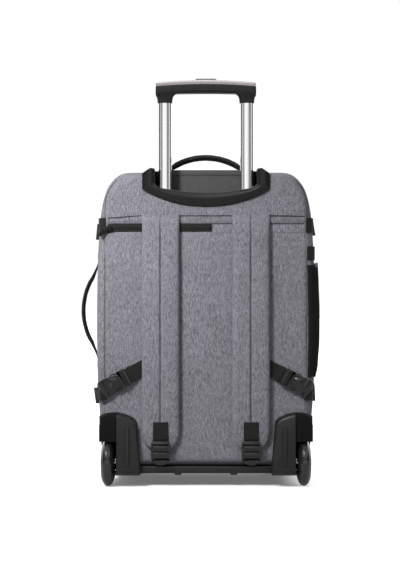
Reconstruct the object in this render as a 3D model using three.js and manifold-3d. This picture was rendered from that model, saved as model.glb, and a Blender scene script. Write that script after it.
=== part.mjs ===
// A wheeled backpack standing upright: a hollow cloth body with a domed front panel, shoulder straps and
// side-release buckles on its back, two wheels in moulded housings, and a two-stage pull handle that rises
// out of a plastic collar. Millimetres, +Z up. The back, with the straps, faces -Y.
// While it is made, y = 0 is the outer face of the back cloth and x = 0 the middle of the bag. The last lines
// move the whole bag so that the origin is on the ground under the middle of its bounding box.
import * as THREE from "three";
import { mergeVertices } from "three/addons/utils/BufferGeometryUtils.js";
import Module from "manifold-3d";

const wasm = await Module();
wasm.setup();

// Clearances
const GAP = 0.3; // between pieces that touch
const SLIDE_GAP = 0.5; // each side of a sliding tube

// Cloth body
const BODY_WIDTH = 362;
const BODY_BOTTOM = 34;
const BODY_HEIGHT = 486;
const GUSSET_DEPTH = 160;
const EDGE_ROUND = 14;
const BODY_WALL = 3;
const PANEL_THICK = 2;
const BODY_TOP = BODY_BOTTOM + BODY_HEIGHT;
const BODY_MIDDLE = BODY_BOTTOM + BODY_HEIGHT / 2;
// Half of the front view: height up the body, and half width there
const SIDE_ROWS = [
  { up: 0, out: 0.9 },
  { up: 0.022, out: 0.943 },
  { up: 0.085, out: 0.957 },
  { up: 0.155, out: 0.969 },
  { up: 0.29, out: 0.992 },
  { up: 0.43, out: 1 },
  { up: 0.565, out: 0.998 },
  { up: 0.7, out: 0.991 },
  { up: 0.77, out: 0.982 },
  { up: 0.84, out: 0.968 },
  { up: 0.875, out: 0.957 },
  { up: 0.91, out: 0.937 },
  { up: 0.944, out: 0.906 },
  { up: 0.972, out: 0.852 },
  { up: 0.99, out: 0.8 },
  { up: 1, out: 0.73 },
];

// Front panel and the zip round it
const FRONT_DEPTH = 50;
const FRONT_ROUND = 34;
const ZIP_WIDTH = 13;
const ZIP_THICK = 1.6;
const ZIP_LOWEST = 92;
const SLIDER_LENGTH = 11;
const SLIDER_WIDTH = 9;
const SLIDER_THICK = 4;
const PULL_LENGTH = 26;
const PULL_WIDTH = 6;
const PULL_THICK = 2;
const MAIN_SLIDER_X = 60;

// Back panels
const YOKE_DROP = 72.5; // from the top of the body to the yoke's seam
const YOKE_SEAM = BODY_TOP - YOKE_DROP;
const FLAP_HEIGHT = 12.5;
const POCKET_ZIP_TOP = YOKE_SEAM - FLAP_HEIGHT;
const POCKET_ZIP_HEIGHT = 14;
const POCKET_ZIP_END = 9.5;
const BACK_FACE = -GAP - PANEL_THICK; // outer face of the back panels
const BACK_ZIP_THICK = 2.6;

// Base tray and feet
const TRAY_HEIGHT = 12.1;
const TRAY_INSET = 18;
const TRAY_HALF_WIDTH = BODY_WIDTH / 2 - TRAY_INSET;
const TRAY_BACK = -3;
const TRAY_FRONT = 196;
const TRAY_WALL = 3;
const TRAY_BOTTOM = BODY_BOTTOM - GAP - TRAY_HEIGHT;
const NUB_X = 46;
const NUB_LENGTH = 11;
const NUB_DEPTH = 9;
const NUB_HEIGHT = 2.6;
const FOOT_INSET = 41; // from the end of the base to the middle of a foot
const FOOT_X = TRAY_HALF_WIDTH - FOOT_INSET;
const FOOT_Y = 172;
const FOOT_LENGTH = 44;
const FOOT_DEPTH = 22;
const FOOT_DRAFT = 4;

// Pull handle tubes: outer size of the upper tube; the others are built round it
const TUBE_SPACING = 136.6;
const TUBE_WIDTH = 21.8;
const TUBE_DEPTH = 13;
const TUBE_ROUND = 5;
const TUBE_GROOVE = 0.9;
const TUBE_GROOVE_HALF = 2.6;
const TUBE_WALL = 1.2;
const LOWER_WALL = 1.3;
const SLEEVE_WALL = 1.5;
const TUBE_Y = 21;
const UPPER_TUBE_BOTTOM = 200;
const LOWER_TUBE_BOTTOM = 60;
const LOWER_WIDTH = TUBE_WIDTH + 2 * (SLIDE_GAP + LOWER_WALL);
const LOWER_DEPTH = TUBE_DEPTH + 2 * (SLIDE_GAP + LOWER_WALL);
const SLEEVE_WIDTH = LOWER_WIDTH + 2 * (SLIDE_GAP + SLEEVE_WALL);
const SLEEVE_DEPTH = LOWER_DEPTH + 2 * (SLIDE_GAP + SLEEVE_WALL);

// Grip, as shown: pulled out by one stop
const GRIP_LENGTH = 165;
const GRIP_BOTTOM = 650;
const GRIP_HEIGHT = 20;
const GRIP_CROWN = 4.2;
const GRIP_DEPTH = 27;
const GRIP_ROUND = 5;
const COVER_HEIGHT = 10.5;
const SOCKET_DROP = 15;
const SOCKET_FLARE = 2.6;
const SOCKET_WALL = 1.5;
const TUBE_ENGAGED = 10;
const BUTTON_LENGTH = 36;
const BUTTON_DEPTH = 12;
const BUTTON_PROUD = 2;
const BUTTON_TRAVEL = 2;
const BUTTON_HEIGHT = 6;

// Collar round the recess that the grip drops into
const COLLAR_HALF_WIDTH = 105.4;
const COLLAR_DROP = 58; // from the top of the body to the collar's lowest edge
const COLLAR_BOTTOM = BODY_TOP - COLLAR_DROP;
const COLLAR_CORNER_RISE = 30;
const BEVEL_WIDTH = 13.4;
const LIP_WIDTH = 7.4;
const BEVEL_DROP = 14.6;
const LIP_DROP = 9;
const COLLAR_EDGE_THICK = 2.4;
const RIDGE_PROUD = 11;
const LIP_PROUD = 6;
const LINER_WALL = 2.5;
const RECESS_DEPTH = 43;
const RECESS_PANEL_THICK = 2.5;
const RIDGE_RISE = 6; // from the top of the body to the collar's horns
const RIDGE_TOP = BODY_TOP + RIDGE_RISE;
const RECESS_PANEL_RISE = 7;
const RECESS_PANEL_TOP = BODY_TOP + RECESS_PANEL_RISE;
const OUTER_DROP = 2.5;
const OUTER_TOP = BODY_TOP - OUTER_DROP;
// Half of each edge of the collar, from the middle outwards, as shares of its half width and corner rise
const COLLAR_ROWS = [
  { outerX: 0, outerUp: 0, ridgeX: 0, ridgeUp: 0, innerX: 0, innerUp: 0 },
  { outerX: 0.24, outerUp: 0.05, ridgeX: 0.27, ridgeUp: 0.05, innerX: 0.3, innerUp: 0.06 },
  { outerX: 0.48, outerUp: 0.2, ridgeX: 0.55, ridgeUp: 0.19, innerX: 0.62, innerUp: 0.25 },
  { outerX: 0.72, outerUp: 0.47, ridgeX: 0.8, ridgeUp: 0.42, innerX: 0.88, innerUp: 0.46 },
  { outerX: 0.9, outerUp: 0.75, ridgeX: 0.94, ridgeUp: 0.65, innerX: 0.965, innerUp: 0.66 },
  { outerX: 0.985, outerUp: 0.93, ridgeX: 0.99, ridgeUp: 0.86, innerX: 0.995, innerUp: 0.88 },
  { outerX: 1, outerUp: 1.12, ridgeX: 1, ridgeUp: 1.1, innerX: 1, innerUp: 1.15 },
];

// Soft carrying handles
const TOP_HANDLE_SPAN = 156;
const TOP_HANDLE_RISE = 34.5;
const TOP_HANDLE_THICK = 9.5;
const TOP_HANDLE_WIDTH = 26;
const TOP_HANDLE_Y = 76;
const SIDE_HANDLE_SPAN = 152;
const SIDE_HANDLE_RISE = 31;
const SIDE_HANDLE_THICK = 6.5;
const SIDE_HANDLE_WIDTH = 25;
const SIDE_HANDLE_Y = 85;
const SIDE_HANDLE_Z = 290;
const HANDLE_TAB = 20;
const HANDLE_TAB_THICK = 3;

// Shoulder straps
const STRAP_X = 74.5;
const STRAP_WIDTH = 62;
const STRAP_THICK = 11.5;
const STRAP_BOTTOM = 64;
const STRAP_LIFT = 3.4; // from the back panel to the strap, so that the webbing passes under it
// Along the strap from its top: width, thickness, and how far its back lies off the panel
const STRAP_ROWS = [
  { along: 0, wide: 1, thick: 0.42, lift: 0.12 },
  { along: 0.03, wide: 1, thick: 0.8, lift: 0.24 },
  { along: 0.08, wide: 0.99, thick: 1, lift: 0.35 },
  { along: 0.3, wide: 1, thick: 1, lift: 0.8 },
  { along: 0.6, wide: 1, thick: 1, lift: 1 },
  { along: 0.85, wide: 1, thick: 1, lift: 1 },
  { along: 0.93, wide: 1, thick: 0.9, lift: 1 },
  { along: 0.965, wide: 0.92, thick: 0.75, lift: 1 },
  { along: 0.985, wide: 0.78, thick: 0.62, lift: 1 },
  { along: 1, wide: 0.58, thick: 0.5, lift: 1 },
];
// Half of the strap's section: across from the middle seam, and out from its back
const STRAP_SECTION = [
  { across: 0, out: 0.8 },
  { across: 0.1, out: 0.96 },
  { across: 0.5, out: 1 },
  { across: 0.86, out: 0.93 },
  { across: 0.98, out: 0.62 },
  { across: 1, out: 0.3 },
  { across: 0.94, out: 0 },
];

// Webbing and its fittings
const WEBBING_WIDTH = 25;
const WEBBING_THICK = 1.6;
const LOCK_WIDTH = 32;
const LOCK_HEIGHT = 40;
const LOCK_THICK = 5;
const LOCK_BOTTOM = 36.5;
const LOCK_SLOT = 4;
const LOCK_PITCH = 11.2;
const STRAP_WEBBING_TOP = 107;
const LOCK_TAB_HEIGHT = 16;

// Side-release buckles on the slanting side webbing
const SIDE_WEBBING_INSET = 75.6; // from the side of the body to the middle of the webbing's turn
const SIDE_WEBBING_X = BODY_WIDTH / 2 - SIDE_WEBBING_INSET;
const SIDE_WEBBING_Z = 193.5;
const SIDE_WEBBING_SLANT = 29; // degrees, down towards the side
const SIDE_WEBBING_TAIL = 44; // hidden behind the shoulder strap
const BUCKLE_WIDTH = 30;
const BUCKLE_THICK = 9;
const MALE_START = 29;
const MALE_LENGTH = 15;
const FEMALE_LENGTH = 31;
const TONGUE_LENGTH = 9;
const TONGUE_THICK = 3.6;
const TONGUE_WIDTH = 19;
const BUCKLE_LIFT = WEBBING_THICK + GAP; // the webbing passes behind the buckle
const SIDE_BAND_Z = 155;
const SIDE_BAND_LENGTH = 62;
const UPPER_BAND_DROP = 17.5; // from the yoke's seam
const UPPER_BAND_Z = YOKE_SEAM - UPPER_BAND_DROP;
const BAND_START = 2; // flat length on the back before a band turns the corner
const UPPER_BAND_LENGTH = 148;
const GLIDE_LENGTH = 16;
const GLIDE_WIDTH = 32;
const GLIDE_THICK = 5.6;
const GLIDE_Y = 34;

// Side pocket
const POCKET_TOP = 366;
const POCKET_HEIGHT = 186;
const POCKET_BOTTOM = POCKET_TOP - POCKET_HEIGHT;
const POCKET_FRONT = 128;
const POCKET_BACK = -2;
const POCKET_BULGE = 7.5;
const POCKET_WALL = 2;
const GUSSET_WIDTH = 17;
const POCKET_ROUND = 16;
// Up the pocket: how far it bulges
const POCKET_ROWS = [
  { up: 0, bulge: 0.3 },
  { up: 0.12, bulge: 0.66 },
  { up: 0.35, bulge: 0.96 },
  { up: 0.6, bulge: 1 },
  { up: 0.85, bulge: 0.88 },
  { up: 1, bulge: 0.78 },
];
const POCKET_TAB_HEIGHT = 23;

// Wheels and their housings
const WHEEL_INSET = 18.7; // from the side of the body to the wheel's middle plane
const WHEEL_X = BODY_WIDTH / 2 - WHEEL_INSET;
const WHEEL_Y = 8;
const WHEEL_RADIUS = 39;
const WHEEL_WIDTH = 24.6;
const HUB_RADIUS = 25;
const BORE_RADIUS = 4.6;
const AXLE_RADIUS = 4.2;
const AXLE_HEAD = 7.5;
const AXLE_HEAD_THICK = 2;
const WHEEL_SIDES = 32;
const WELL_CLEARANCE = 4;
const HOUSING_BACK = -19;
const HOUSING_FRONT = 56;
const HOUSING_BOTTOM = 18.3;
const HOUSING_TOP = 121;
const HOUSING_INSET = 5;
const HOUSING_OUTER = BODY_WIDTH / 2 - HOUSING_INSET;
const HOUSING_WALL = 3;
const WELL_WIDTH = 28.4;
const LEG_OUTER = HOUSING_OUTER - WELL_WIDTH;
const LEG_WIDTH = 32.2;
const LEG_INNER = LEG_OUTER - LEG_WIDTH;
const LEG_FOOT_SPREAD = 6.4;
const LEG_FOOT = LEG_INNER - LEG_FOOT_SPREAD;
const BOSS_RADIUS = 9;
const CAP_BOTTOM = 74.5;
const RIB_WIDTH = 8;
const RIB_PROUD = 2.2;
const RIB_TOP = 99;
const RIB_BOTTOM = 33;
// The housing's arched top, from the inner edge outwards, as shares of its width and of the arch's rise
const ARCH_RISE = 16.5;
const ARCH_ROWS = [
  { out: 0, up: 0 },
  { out: 0.08, up: 0.4 },
  { out: 0.27, up: 0.76 },
  { out: 0.53, up: 1 },
  { out: 0.8, up: 0.93 },
  { out: 1, up: 0.66 },
];

const cloth = new THREE.MeshStandardMaterial({ color: 0x8b8a92, roughness: 0.9, metalness: 0 });
const dark = new THREE.MeshStandardMaterial({ color: 0x2f2f2f, roughness: 0.85, metalness: 0 });
const panelGrey = new THREE.MeshStandardMaterial({ color: 0x565656, roughness: 0.7, metalness: 0 });
const plastic = new THREE.MeshStandardMaterial({ color: 0x303030, roughness: 0.45, metalness: 0 });
const tyreBlack = new THREE.MeshStandardMaterial({ color: 0x2a2a2a, roughness: 0.2, metalness: 0 });
const blackMetal = new THREE.MeshStandardMaterial({ color: 0x262626, roughness: 0.4, metalness: 0.6 });
const metal = new THREE.MeshStandardMaterial({ color: 0xd8d8d8, roughness: 0.25, metalness: 1 });

// A closed mesh as a solid that can be cut and joined
function solidOf(geometry) {
  const loose = geometry.index ? geometry.toNonIndexed() : geometry;
  const bare = new THREE.BufferGeometry().setAttribute("position", loose.getAttribute("position"));
  const merged = mergeVertices(bare, 1e-3);
  return new wasm.Manifold(
    new wasm.Mesh({
      numProp: 3,
      vertProperties: merged.attributes.position.array,
      triVerts: new Uint32Array(merged.index.array),
    }),
  );
}

function geometryOf(solid) {
  const mesh = solid.getMesh();
  const geometry = new THREE.BufferGeometry();
  geometry.setAttribute("position", new THREE.BufferAttribute(new Float32Array(mesh.vertProperties), 3));
  geometry.setIndex(new THREE.BufferAttribute(new Uint32Array(mesh.triVerts), 1));
  return geometry;
}

const cut = (whole, ...tools) => tools.reduce((left, tool) => left.subtract(tool), whole);
const join = (first, ...others) => others.reduce((sum, next) => sum.add(next), first);

// A box between two corners, given in any order
function block(x0, x1, y0, y1, z0, z1) {
  const box = new THREE.BoxGeometry(Math.abs(x1 - x0), Math.abs(y1 - y0), Math.abs(z1 - z0));
  return solidOf(box.translate((x0 + x1) / 2, (y0 + y1) / 2, (z0 + z1) / 2));
}

// Everything above or below a height, and everything on one side of a depth
const FAR = 2000;
const above = (z) => block(-FAR, FAR, -FAR, FAR, z, FAR);
const below = (z) => block(-FAR, FAR, -FAR, FAR, -FAR, z);

function shapeOf(points) {
  return new THREE.Shape(points.map((p) => new THREE.Vector2(p[0], p[1])));
}

// An outline in x and z, extruded along y from yFrom to yTo
function prismAlongY(points, yFrom, yTo, holes = []) {
  const shape = shapeOf(points);
  shape.holes = holes.map((hole) => new THREE.Path(hole.map((p) => new THREE.Vector2(p[0], p[1]))));
  const geometry = new THREE.ExtrudeGeometry(shape, { depth: yTo - yFrom, bevelEnabled: false });
  return solidOf(geometry.rotateX(Math.PI / 2).translate(0, yTo, 0));
}

// An outline in x and y, extruded up from zFrom to zTo
function prismAlongZ(points, zFrom, zTo, holes = []) {
  const shape = shapeOf(points);
  shape.holes = holes.map((hole) => new THREE.Path(hole.map((p) => new THREE.Vector2(p[0], p[1]))));
  const geometry = new THREE.ExtrudeGeometry(shape, { depth: zTo - zFrom, bevelEnabled: false });
  return solidOf(geometry.translate(0, 0, zFrom));
}

// An outline in y and z, extruded along x from xFrom to xTo
function prismAlongX(points, xFrom, xTo) {
  const geometry = new THREE.ExtrudeGeometry(shapeOf(points), { depth: xTo - xFrom, bevelEnabled: false });
  return solidOf(geometry.rotateX(Math.PI / 2).rotateZ(Math.PI / 2).translate(xFrom, 0, 0));
}

// Triangles that close a loop of points, in the loop's own turning sense
function capTriangles(loop) {
  const normal = new THREE.Vector3();
  loop.forEach((p, i) => normal.add(new THREE.Vector3().crossVectors(p, loop[(i + 1) % loop.length])));
  const size = [Math.abs(normal.x), Math.abs(normal.y), Math.abs(normal.z)];
  const drop = size.indexOf(Math.max(...size));
  const flat = loop.map((p) => {
    const c = p.toArray();
    c.splice(drop, 1);
    return new THREE.Vector2(c[0], c[1]);
  });
  const turning = Math.sign(THREE.ShapeUtils.area(flat));
  return THREE.ShapeUtils.triangulateShape(flat, []).map(([a, b, c]) => {
    const own = Math.sign(THREE.ShapeUtils.area([flat[a], flat[b], flat[c]]));
    return own === turning ? [a, b, c] : [a, c, b];
  });
}

// A solid through closed loops that all hold the same number of points
function loft(loops) {
  const count = loops[0].length;
  const positions = loops.flat().flatMap((p) => p.toArray());
  const faces = [];
  for (let row = 0; row + 1 < loops.length; row++) {
    for (let i = 0; i < count; i++) {
      const a = row * count + i;
      const b = row * count + ((i + 1) % count);
      faces.push(a, b, b + count, a, b + count, a + count);
    }
  }
  const last = (loops.length - 1) * count;
  for (const [a, b, c] of capTriangles(loops[0])) faces.push(a, c, b);
  for (const [a, b, c] of capTriangles(loops[loops.length - 1])) faces.push(last + a, last + b, last + c);
  const geometry = new THREE.BufferGeometry();
  geometry.setAttribute("position", new THREE.BufferAttribute(new Float32Array(positions), 3));
  geometry.setIndex(faces);
  const made = solidOf(geometry);
  if (made.volume() > 0) return made;
  for (let i = 0; i < faces.length; i += 3) [faces[i + 1], faces[i + 2]] = [faces[i + 2], faces[i + 1]];
  geometry.setIndex(faces);
  return solidOf(geometry);
}

// The outline of a strip of the given thickness along an open path of points
function stripOutline(path, thick) {
  const sides = path.map((p, i) => {
    const before = path[Math.max(i - 1, 0)];
    const after = path[Math.min(i + 1, path.length - 1)];
    const length = Math.hypot(after[0] - before[0], after[1] - before[1]);
    const across = [-(after[1] - before[1]) / length, (after[0] - before[0]) / length];
    const half = (typeof thick === "function" ? thick(i / (path.length - 1)) : thick) / 2;
    return [
      [p[0] + across[0] * half, p[1] + across[1] * half],
      [p[0] - across[0] * half, p[1] - across[1] * half],
    ];
  });
  return [...sides.map((s) => s[0]), ...sides.map((s) => s[1]).reverse()];
}

// A rectangle with round corners, about a centre
function roundedRectangle(cx, cy, width, height, radius, steps = 3) {
  const points = [];
  const corners = [
    { x: 1, y: 1, from: 0 },
    { x: -1, y: 1, from: 90 },
    { x: -1, y: -1, from: 180 },
    { x: 1, y: -1, from: 270 },
  ];
  for (const corner of corners) {
    for (let step = 0; step <= steps; step++) {
      const angle = THREE.MathUtils.degToRad(corner.from + (90 * step) / steps);
      points.push([
        cx + corner.x * (width / 2 - radius) + radius * Math.cos(angle),
        cy + corner.y * (height / 2 - radius) + radius * Math.sin(angle),
      ]);
    }
  }
  return points;
}

const mirrored = (solid) => solid.mirror([1, 0, 0]);

// How far a quarter-round edge stands in from the face, at a distance along from where it starts
function roundedIn(along, radius) {
  if (along >= radius) return 0;
  return radius - Math.sqrt(radius ** 2 - (radius - Math.max(along, 0)) ** 2);
}

// The body's outline as a loop at depth y, drawn in by inset all round
function bodyLoop(y, inset) {
  const half = BODY_WIDTH / 2 - inset;
  const tall = BODY_HEIGHT / 2 - inset;
  const right = SIDE_ROWS.map((row) => [half * row.out, BODY_MIDDLE + tall * (2 * row.up - 1)]);
  const left = right.map(([x, z]) => [-x, z]).reverse();
  return [...right, ...left].map(([x, z]) => new THREE.Vector3(x, y, z));
}

const flatPoints = (loop) => loop.map((p) => [p.x, p.z]);
const ROUND_STEPS = 4;

// The body's outer skin, from the back face to the gusset's rim, drawn in by inset
function bodySkin(inset) {
  const loops = [];
  for (let step = 0; step <= ROUND_STEPS; step++) {
    const angle = (Math.PI / 2) * (step / ROUND_STEPS);
    loops.push(bodyLoop(inset + EDGE_ROUND * (1 - Math.cos(angle)), inset + EDGE_ROUND * (1 - Math.sin(angle))));
  }
  loops.push(bodyLoop(GUSSET_DEPTH, inset));
  return loops;
}

// The body as a full solid, grown by a clearance, for cutting what lies on it
function bodyEnvelope(grow) {
  const loops = bodySkin(-grow);
  return loft([...loops, bodyLoop(GUSSET_DEPTH + FRONT_DEPTH, -grow)]);
}

function makeBodyShell(recess, housings) {
  const tub = loft([...bodySkin(0), ...bodySkin(BODY_WALL).reverse()]);
  return cut(tub, recess, ...housings);
}

// The domed front panel's skin, from its face to its rim
function frontSkin(inset) {
  const loops = [];
  const face = GUSSET_DEPTH + GAP + FRONT_DEPTH - inset;
  for (let step = 0; step <= ROUND_STEPS; step++) {
    const angle = (Math.PI / 2) * (step / ROUND_STEPS);
    loops.push(bodyLoop(face - FRONT_ROUND * (1 - Math.cos(angle)), inset + FRONT_ROUND * (1 - Math.sin(angle))));
  }
  loops.push(bodyLoop(GUSSET_DEPTH + GAP, inset));
  return loops;
}

function makeFrontPanel() {
  return loft([...frontSkin(0), ...frontSkin(BODY_WALL).reverse()]);
}

// The zip tape round the front seam, open along the base
function makeMainZip() {
  const from = GUSSET_DEPTH - ZIP_WIDTH / 2;
  const to = GUSSET_DEPTH + ZIP_WIDTH / 2;
  const outer = flatPoints(bodyLoop(0, -GAP - ZIP_THICK));
  const inner = flatPoints(bodyLoop(0, -GAP));
  return prismAlongY(outer, from, to, [inner]).subtract(below(ZIP_LOWEST));
}

// A zip slider lying on a face at z = 0, its length along x, with its pull hanging towards +x
function makeSlider() {
  const half = SLIDER_WIDTH / 2;
  const outline = [
    [-SLIDER_LENGTH / 2, -half * 0.6],
    [SLIDER_LENGTH / 2, -half],
    [SLIDER_LENGTH / 2, half],
    [-SLIDER_LENGTH / 2, half * 0.6],
  ];
  const body = prismAlongZ(outline, GAP, GAP + SLIDER_THICK * 0.6);
  const bridge = block(-SLIDER_LENGTH * 0.3, SLIDER_LENGTH * 0.3, -1.2, 1.2, GAP, GAP + SLIDER_THICK);
  const pullFrom = SLIDER_LENGTH * 0.2;
  const pull = prismAlongZ(
    roundedRectangle(pullFrom + PULL_LENGTH / 2, 0, PULL_LENGTH, PULL_WIDTH, PULL_WIDTH / 2 - 0.1),
    GAP + SLIDER_THICK * 0.6 - 0.1,
    GAP + SLIDER_THICK * 0.6 - 0.1 + PULL_THICK,
  );
  return join(body, bridge, pull);
}

// Heights and half widths of one edge of the collar, from its middle to its top
function collarEdge(name, halfWidth, bottom, top, row) {
  const rise = COLLAR_CORNER_RISE * (halfWidth / COLLAR_HALF_WIDTH) * (name === "inner" ? 0.7 : 1);
  if (!row) return [halfWidth, top];
  return [halfWidth * row[name + "X"], bottom + rise * row[name + "Up"]];
}

const RIDGE_HALF_WIDTH = COLLAR_HALF_WIDTH - BEVEL_WIDTH;
const INNER_HALF_WIDTH = RIDGE_HALF_WIDTH - LIP_WIDTH;
const RIDGE_BOTTOM = COLLAR_BOTTOM + BEVEL_DROP;
const INNER_BOTTOM = RIDGE_BOTTOM + LIP_DROP;

// The U of the recess, with a wall of the given thickness added, closed far above the bag
function recessOutline(wall, top) {
  const half = COLLAR_ROWS.map((row) => collarEdge("inner", INNER_HALF_WIDTH + wall, INNER_BOTTOM - wall, top, row));
  half.push([INNER_HALF_WIDTH + wall, top]);
  return [...half, ...half.slice(1).map(([x, z]) => [-x, z]).reverse()];
}

function makeCollar(tubeSlots) {
  const flange = BACK_FACE - GAP;
  const rowLoop = (row, side) => {
    const outer = collarEdge("outer", COLLAR_HALF_WIDTH, COLLAR_BOTTOM, OUTER_TOP, row);
    const ridge = collarEdge("ridge", RIDGE_HALF_WIDTH, RIDGE_BOTTOM, RIDGE_TOP, row);
    const inner = collarEdge("inner", INNER_HALF_WIDTH, INNER_BOTTOM, RIDGE_TOP - 1, row);
    const wall = collarEdge("inner", INNER_HALF_WIDTH + LINER_WALL, INNER_BOTTOM - LINER_WALL, RIDGE_TOP - 1, row);
    const corners = [
      [outer, flange],
      [outer, flange - COLLAR_EDGE_THICK],
      [ridge, flange - RIDGE_PROUD],
      [inner, flange - LIP_PROUD],
      [inner, RECESS_DEPTH],
      [wall, RECESS_DEPTH],
      [wall, flange],
    ];
    return corners.map(([[x, z], y]) => new THREE.Vector3(side * x, y, z));
  };
  const rows = [...COLLAR_ROWS, null];
  const right = rows.map((row) => rowLoop(row, 1));
  const left = rows.slice(1).map((row) => rowLoop(row, -1));
  return cut(loft([...left.reverse(), ...right]), ...tubeSlots);
}

function makeRecessPanel() {
  const outline = recessOutline(LINER_WALL, RECESS_PANEL_TOP);
  return prismAlongY(outline, RECESS_DEPTH + GAP, RECESS_DEPTH + GAP + RECESS_PANEL_THICK);
}

// What is cut out of the cloth for the collar's liner and the recess panel behind it
function recessCut(yFrom, yTo) {
  return prismAlongY(recessOutline(LINER_WALL + GAP, BODY_TOP + 40), yFrom, yTo);
}

// One handle tube standing on end, with a groove down each wide face
function makeTube(side, width, depth, wall, zFrom, zTo, groove = 0) {
  const x = (side * TUBE_SPACING) / 2;
  const outside = prismAlongZ(roundedRectangle(x, TUBE_Y, width, depth, TUBE_ROUND), zFrom, zTo);
  const inside = prismAlongZ(
    roundedRectangle(x, TUBE_Y, width - 2 * wall, depth - 2 * wall, TUBE_ROUND - wall),
    zFrom - 1,
    zTo + 1,
  );
  const tube = outside.subtract(inside);
  if (!groove) return tube;
  const channel = (face) => {
    const edge = TUBE_Y + (face * depth) / 2;
    const outline = [
      [x - TUBE_GROOVE_HALF, edge + face],
      [x - TUBE_GROOVE_HALF, edge],
      [x, edge - face * groove],
      [x + TUBE_GROOVE_HALF, edge],
      [x + TUBE_GROOVE_HALF, edge + face],
    ];
    return prismAlongZ(face > 0 ? outline.reverse() : outline, zFrom - 1, zTo + 1);
  };
  return cut(tube, channel(-1), channel(1));
}

// The slot in the collar that the wider, lower tube slides through
function tubeSlot(side) {
  const x = (side * TUBE_SPACING) / 2;
  const outline = roundedRectangle(
    x,
    TUBE_Y,
    LOWER_WIDTH + 2 * SLIDE_GAP,
    LOWER_DEPTH + 2 * SLIDE_GAP,
    TUBE_ROUND,
  );
  return prismAlongZ(outline, COLLAR_BOTTOM - 20, COLLAR_BOTTOM + 3 * COLLAR_CORNER_RISE);
}

// Height of the recess's floor, and of the liner's underside, at a distance out from the middle
function recessFloor(x, wall = 0) {
  const points = COLLAR_ROWS.map((row) =>
    collarEdge("inner", INNER_HALF_WIDTH + wall, INNER_BOTTOM - wall, RIDGE_TOP, row),
  );
  for (let i = 1; i < points.length; i++) {
    const [x0, z0] = points[i - 1];
    const [x1, z1] = points[i];
    if (x <= x1) return z0 + ((z1 - z0) * (x - x0)) / Math.max(x1 - x0, 1e-6);
  }
  return points[points.length - 1][1];
}

const SLEEVE_TOP = recessFloor(TUBE_SPACING / 2 - SLEEVE_WIDTH / 2, LINER_WALL) - GAP;
const LOWER_TUBE_TOP = SLEEVE_TOP + LINER_WALL;
// The sleeves stand on the cloth's floor, clear of the round edge inside it
const SLEEVE_REAR = TUBE_Y - SLEEVE_DEPTH / 2;
const SLEEVE_BOTTOM = BODY_BOTTOM + BODY_WALL + roundedIn(SLEEVE_REAR - BODY_WALL, EDGE_ROUND) + 2 * GAP;

// The whole bar of the grip, arched and rounded, before it is parted into body and cover
function gripBar() {
  const half = GRIP_LENGTH / 2 - GRIP_ROUND;
  const steps = 8;
  const arch = (x) => GRIP_CROWN * (1 - (x / half) ** 2);
  const low = GRIP_BOTTOM + GRIP_ROUND;
  const high = GRIP_BOTTOM + GRIP_HEIGHT - GRIP_ROUND;
  const xs = Array.from({ length: steps + 1 }, (_, i) => -half + (2 * half * i) / steps);
  const outline = [
    ...xs.map((x) => [x, low + arch(x) * 0.4]),
    ...xs.map((x) => [x, high + arch(x)]).reverse(),
  ];
  const depth = GRIP_DEPTH - 2 * GRIP_ROUND;
  const bar = new THREE.ExtrudeGeometry(shapeOf(outline), {
    depth,
    bevelSize: GRIP_ROUND,
    bevelThickness: GRIP_ROUND,
    bevelSegments: 3,
  });
  return solidOf(bar.rotateX(Math.PI / 2).translate(0, TUBE_Y + depth / 2, 0));
}

// Everything above the arched parting line between the grip and its cover, raised by rise
function gripParting(rise) {
  const steps = 8;
  const reach = GRIP_LENGTH;
  const base = GRIP_BOTTOM + GRIP_HEIGHT - COVER_HEIGHT + rise;
  const xs = Array.from({ length: steps + 1 }, (_, i) => -reach / 2 + (reach * i) / steps);
  const line = xs.map((x) => [x, base + GRIP_CROWN * (1 - (x / (reach / 2)) ** 2)]);
  return prismAlongY([...line, [reach / 2, base + 60], [-reach / 2, base + 60]], -FAR, FAR);
}

function makeGripBody(bar) {
  const socket = (side) => {
    const x = (side * TUBE_SPACING) / 2;
    const loopAt = (z, extra) =>
      roundedRectangle(
        x,
        TUBE_Y,
        TUBE_WIDTH + 2 * SOCKET_WALL + 2 * extra,
        TUBE_DEPTH + 2 * SOCKET_WALL + 2 * extra,
        TUBE_ROUND,
      ).map(([px, py]) => new THREE.Vector3(px, py, z));
    return loft([loopAt(GRIP_BOTTOM - SOCKET_DROP, 0), loopAt(GRIP_BOTTOM + GRIP_ROUND, SOCKET_FLARE)]);
  };
  const hole = (side) =>
    prismAlongZ(
      roundedRectangle(
        (side * TUBE_SPACING) / 2,
        TUBE_Y,
        TUBE_WIDTH + 2 * GAP,
        TUBE_DEPTH + 2 * GAP,
        TUBE_ROUND,
      ),
      GRIP_BOTTOM - SOCKET_DROP - 1,
      GRIP_BOTTOM - SOCKET_DROP + TUBE_ENGAGED + GAP,
    );
  const body = join(bar.subtract(gripParting(0)), socket(-1), socket(1));
  return cut(body, hole(-1), hole(1));
}

const GRIP_TOP = GRIP_BOTTOM + GRIP_HEIGHT + GRIP_CROWN;
const BUTTON_TOP = GRIP_TOP + BUTTON_PROUD;

function makeGripCover(bar) {
  const slot = prismAlongZ(
    roundedRectangle(0, TUBE_Y, BUTTON_LENGTH + 2 * GAP, BUTTON_DEPTH + 2 * GAP, BUTTON_DEPTH / 3),
    BUTTON_TOP - BUTTON_HEIGHT - BUTTON_TRAVEL - GAP,
    BUTTON_TOP + 10,
  );
  return bar.intersect(gripParting(GAP)).subtract(slot);
}

function makeButton() {
  return prismAlongZ(
    roundedRectangle(0, TUBE_Y, BUTTON_LENGTH, BUTTON_DEPTH, BUTTON_DEPTH / 3),
    BUTTON_TOP - BUTTON_HEIGHT,
    BUTTON_TOP,
  );
}

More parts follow.
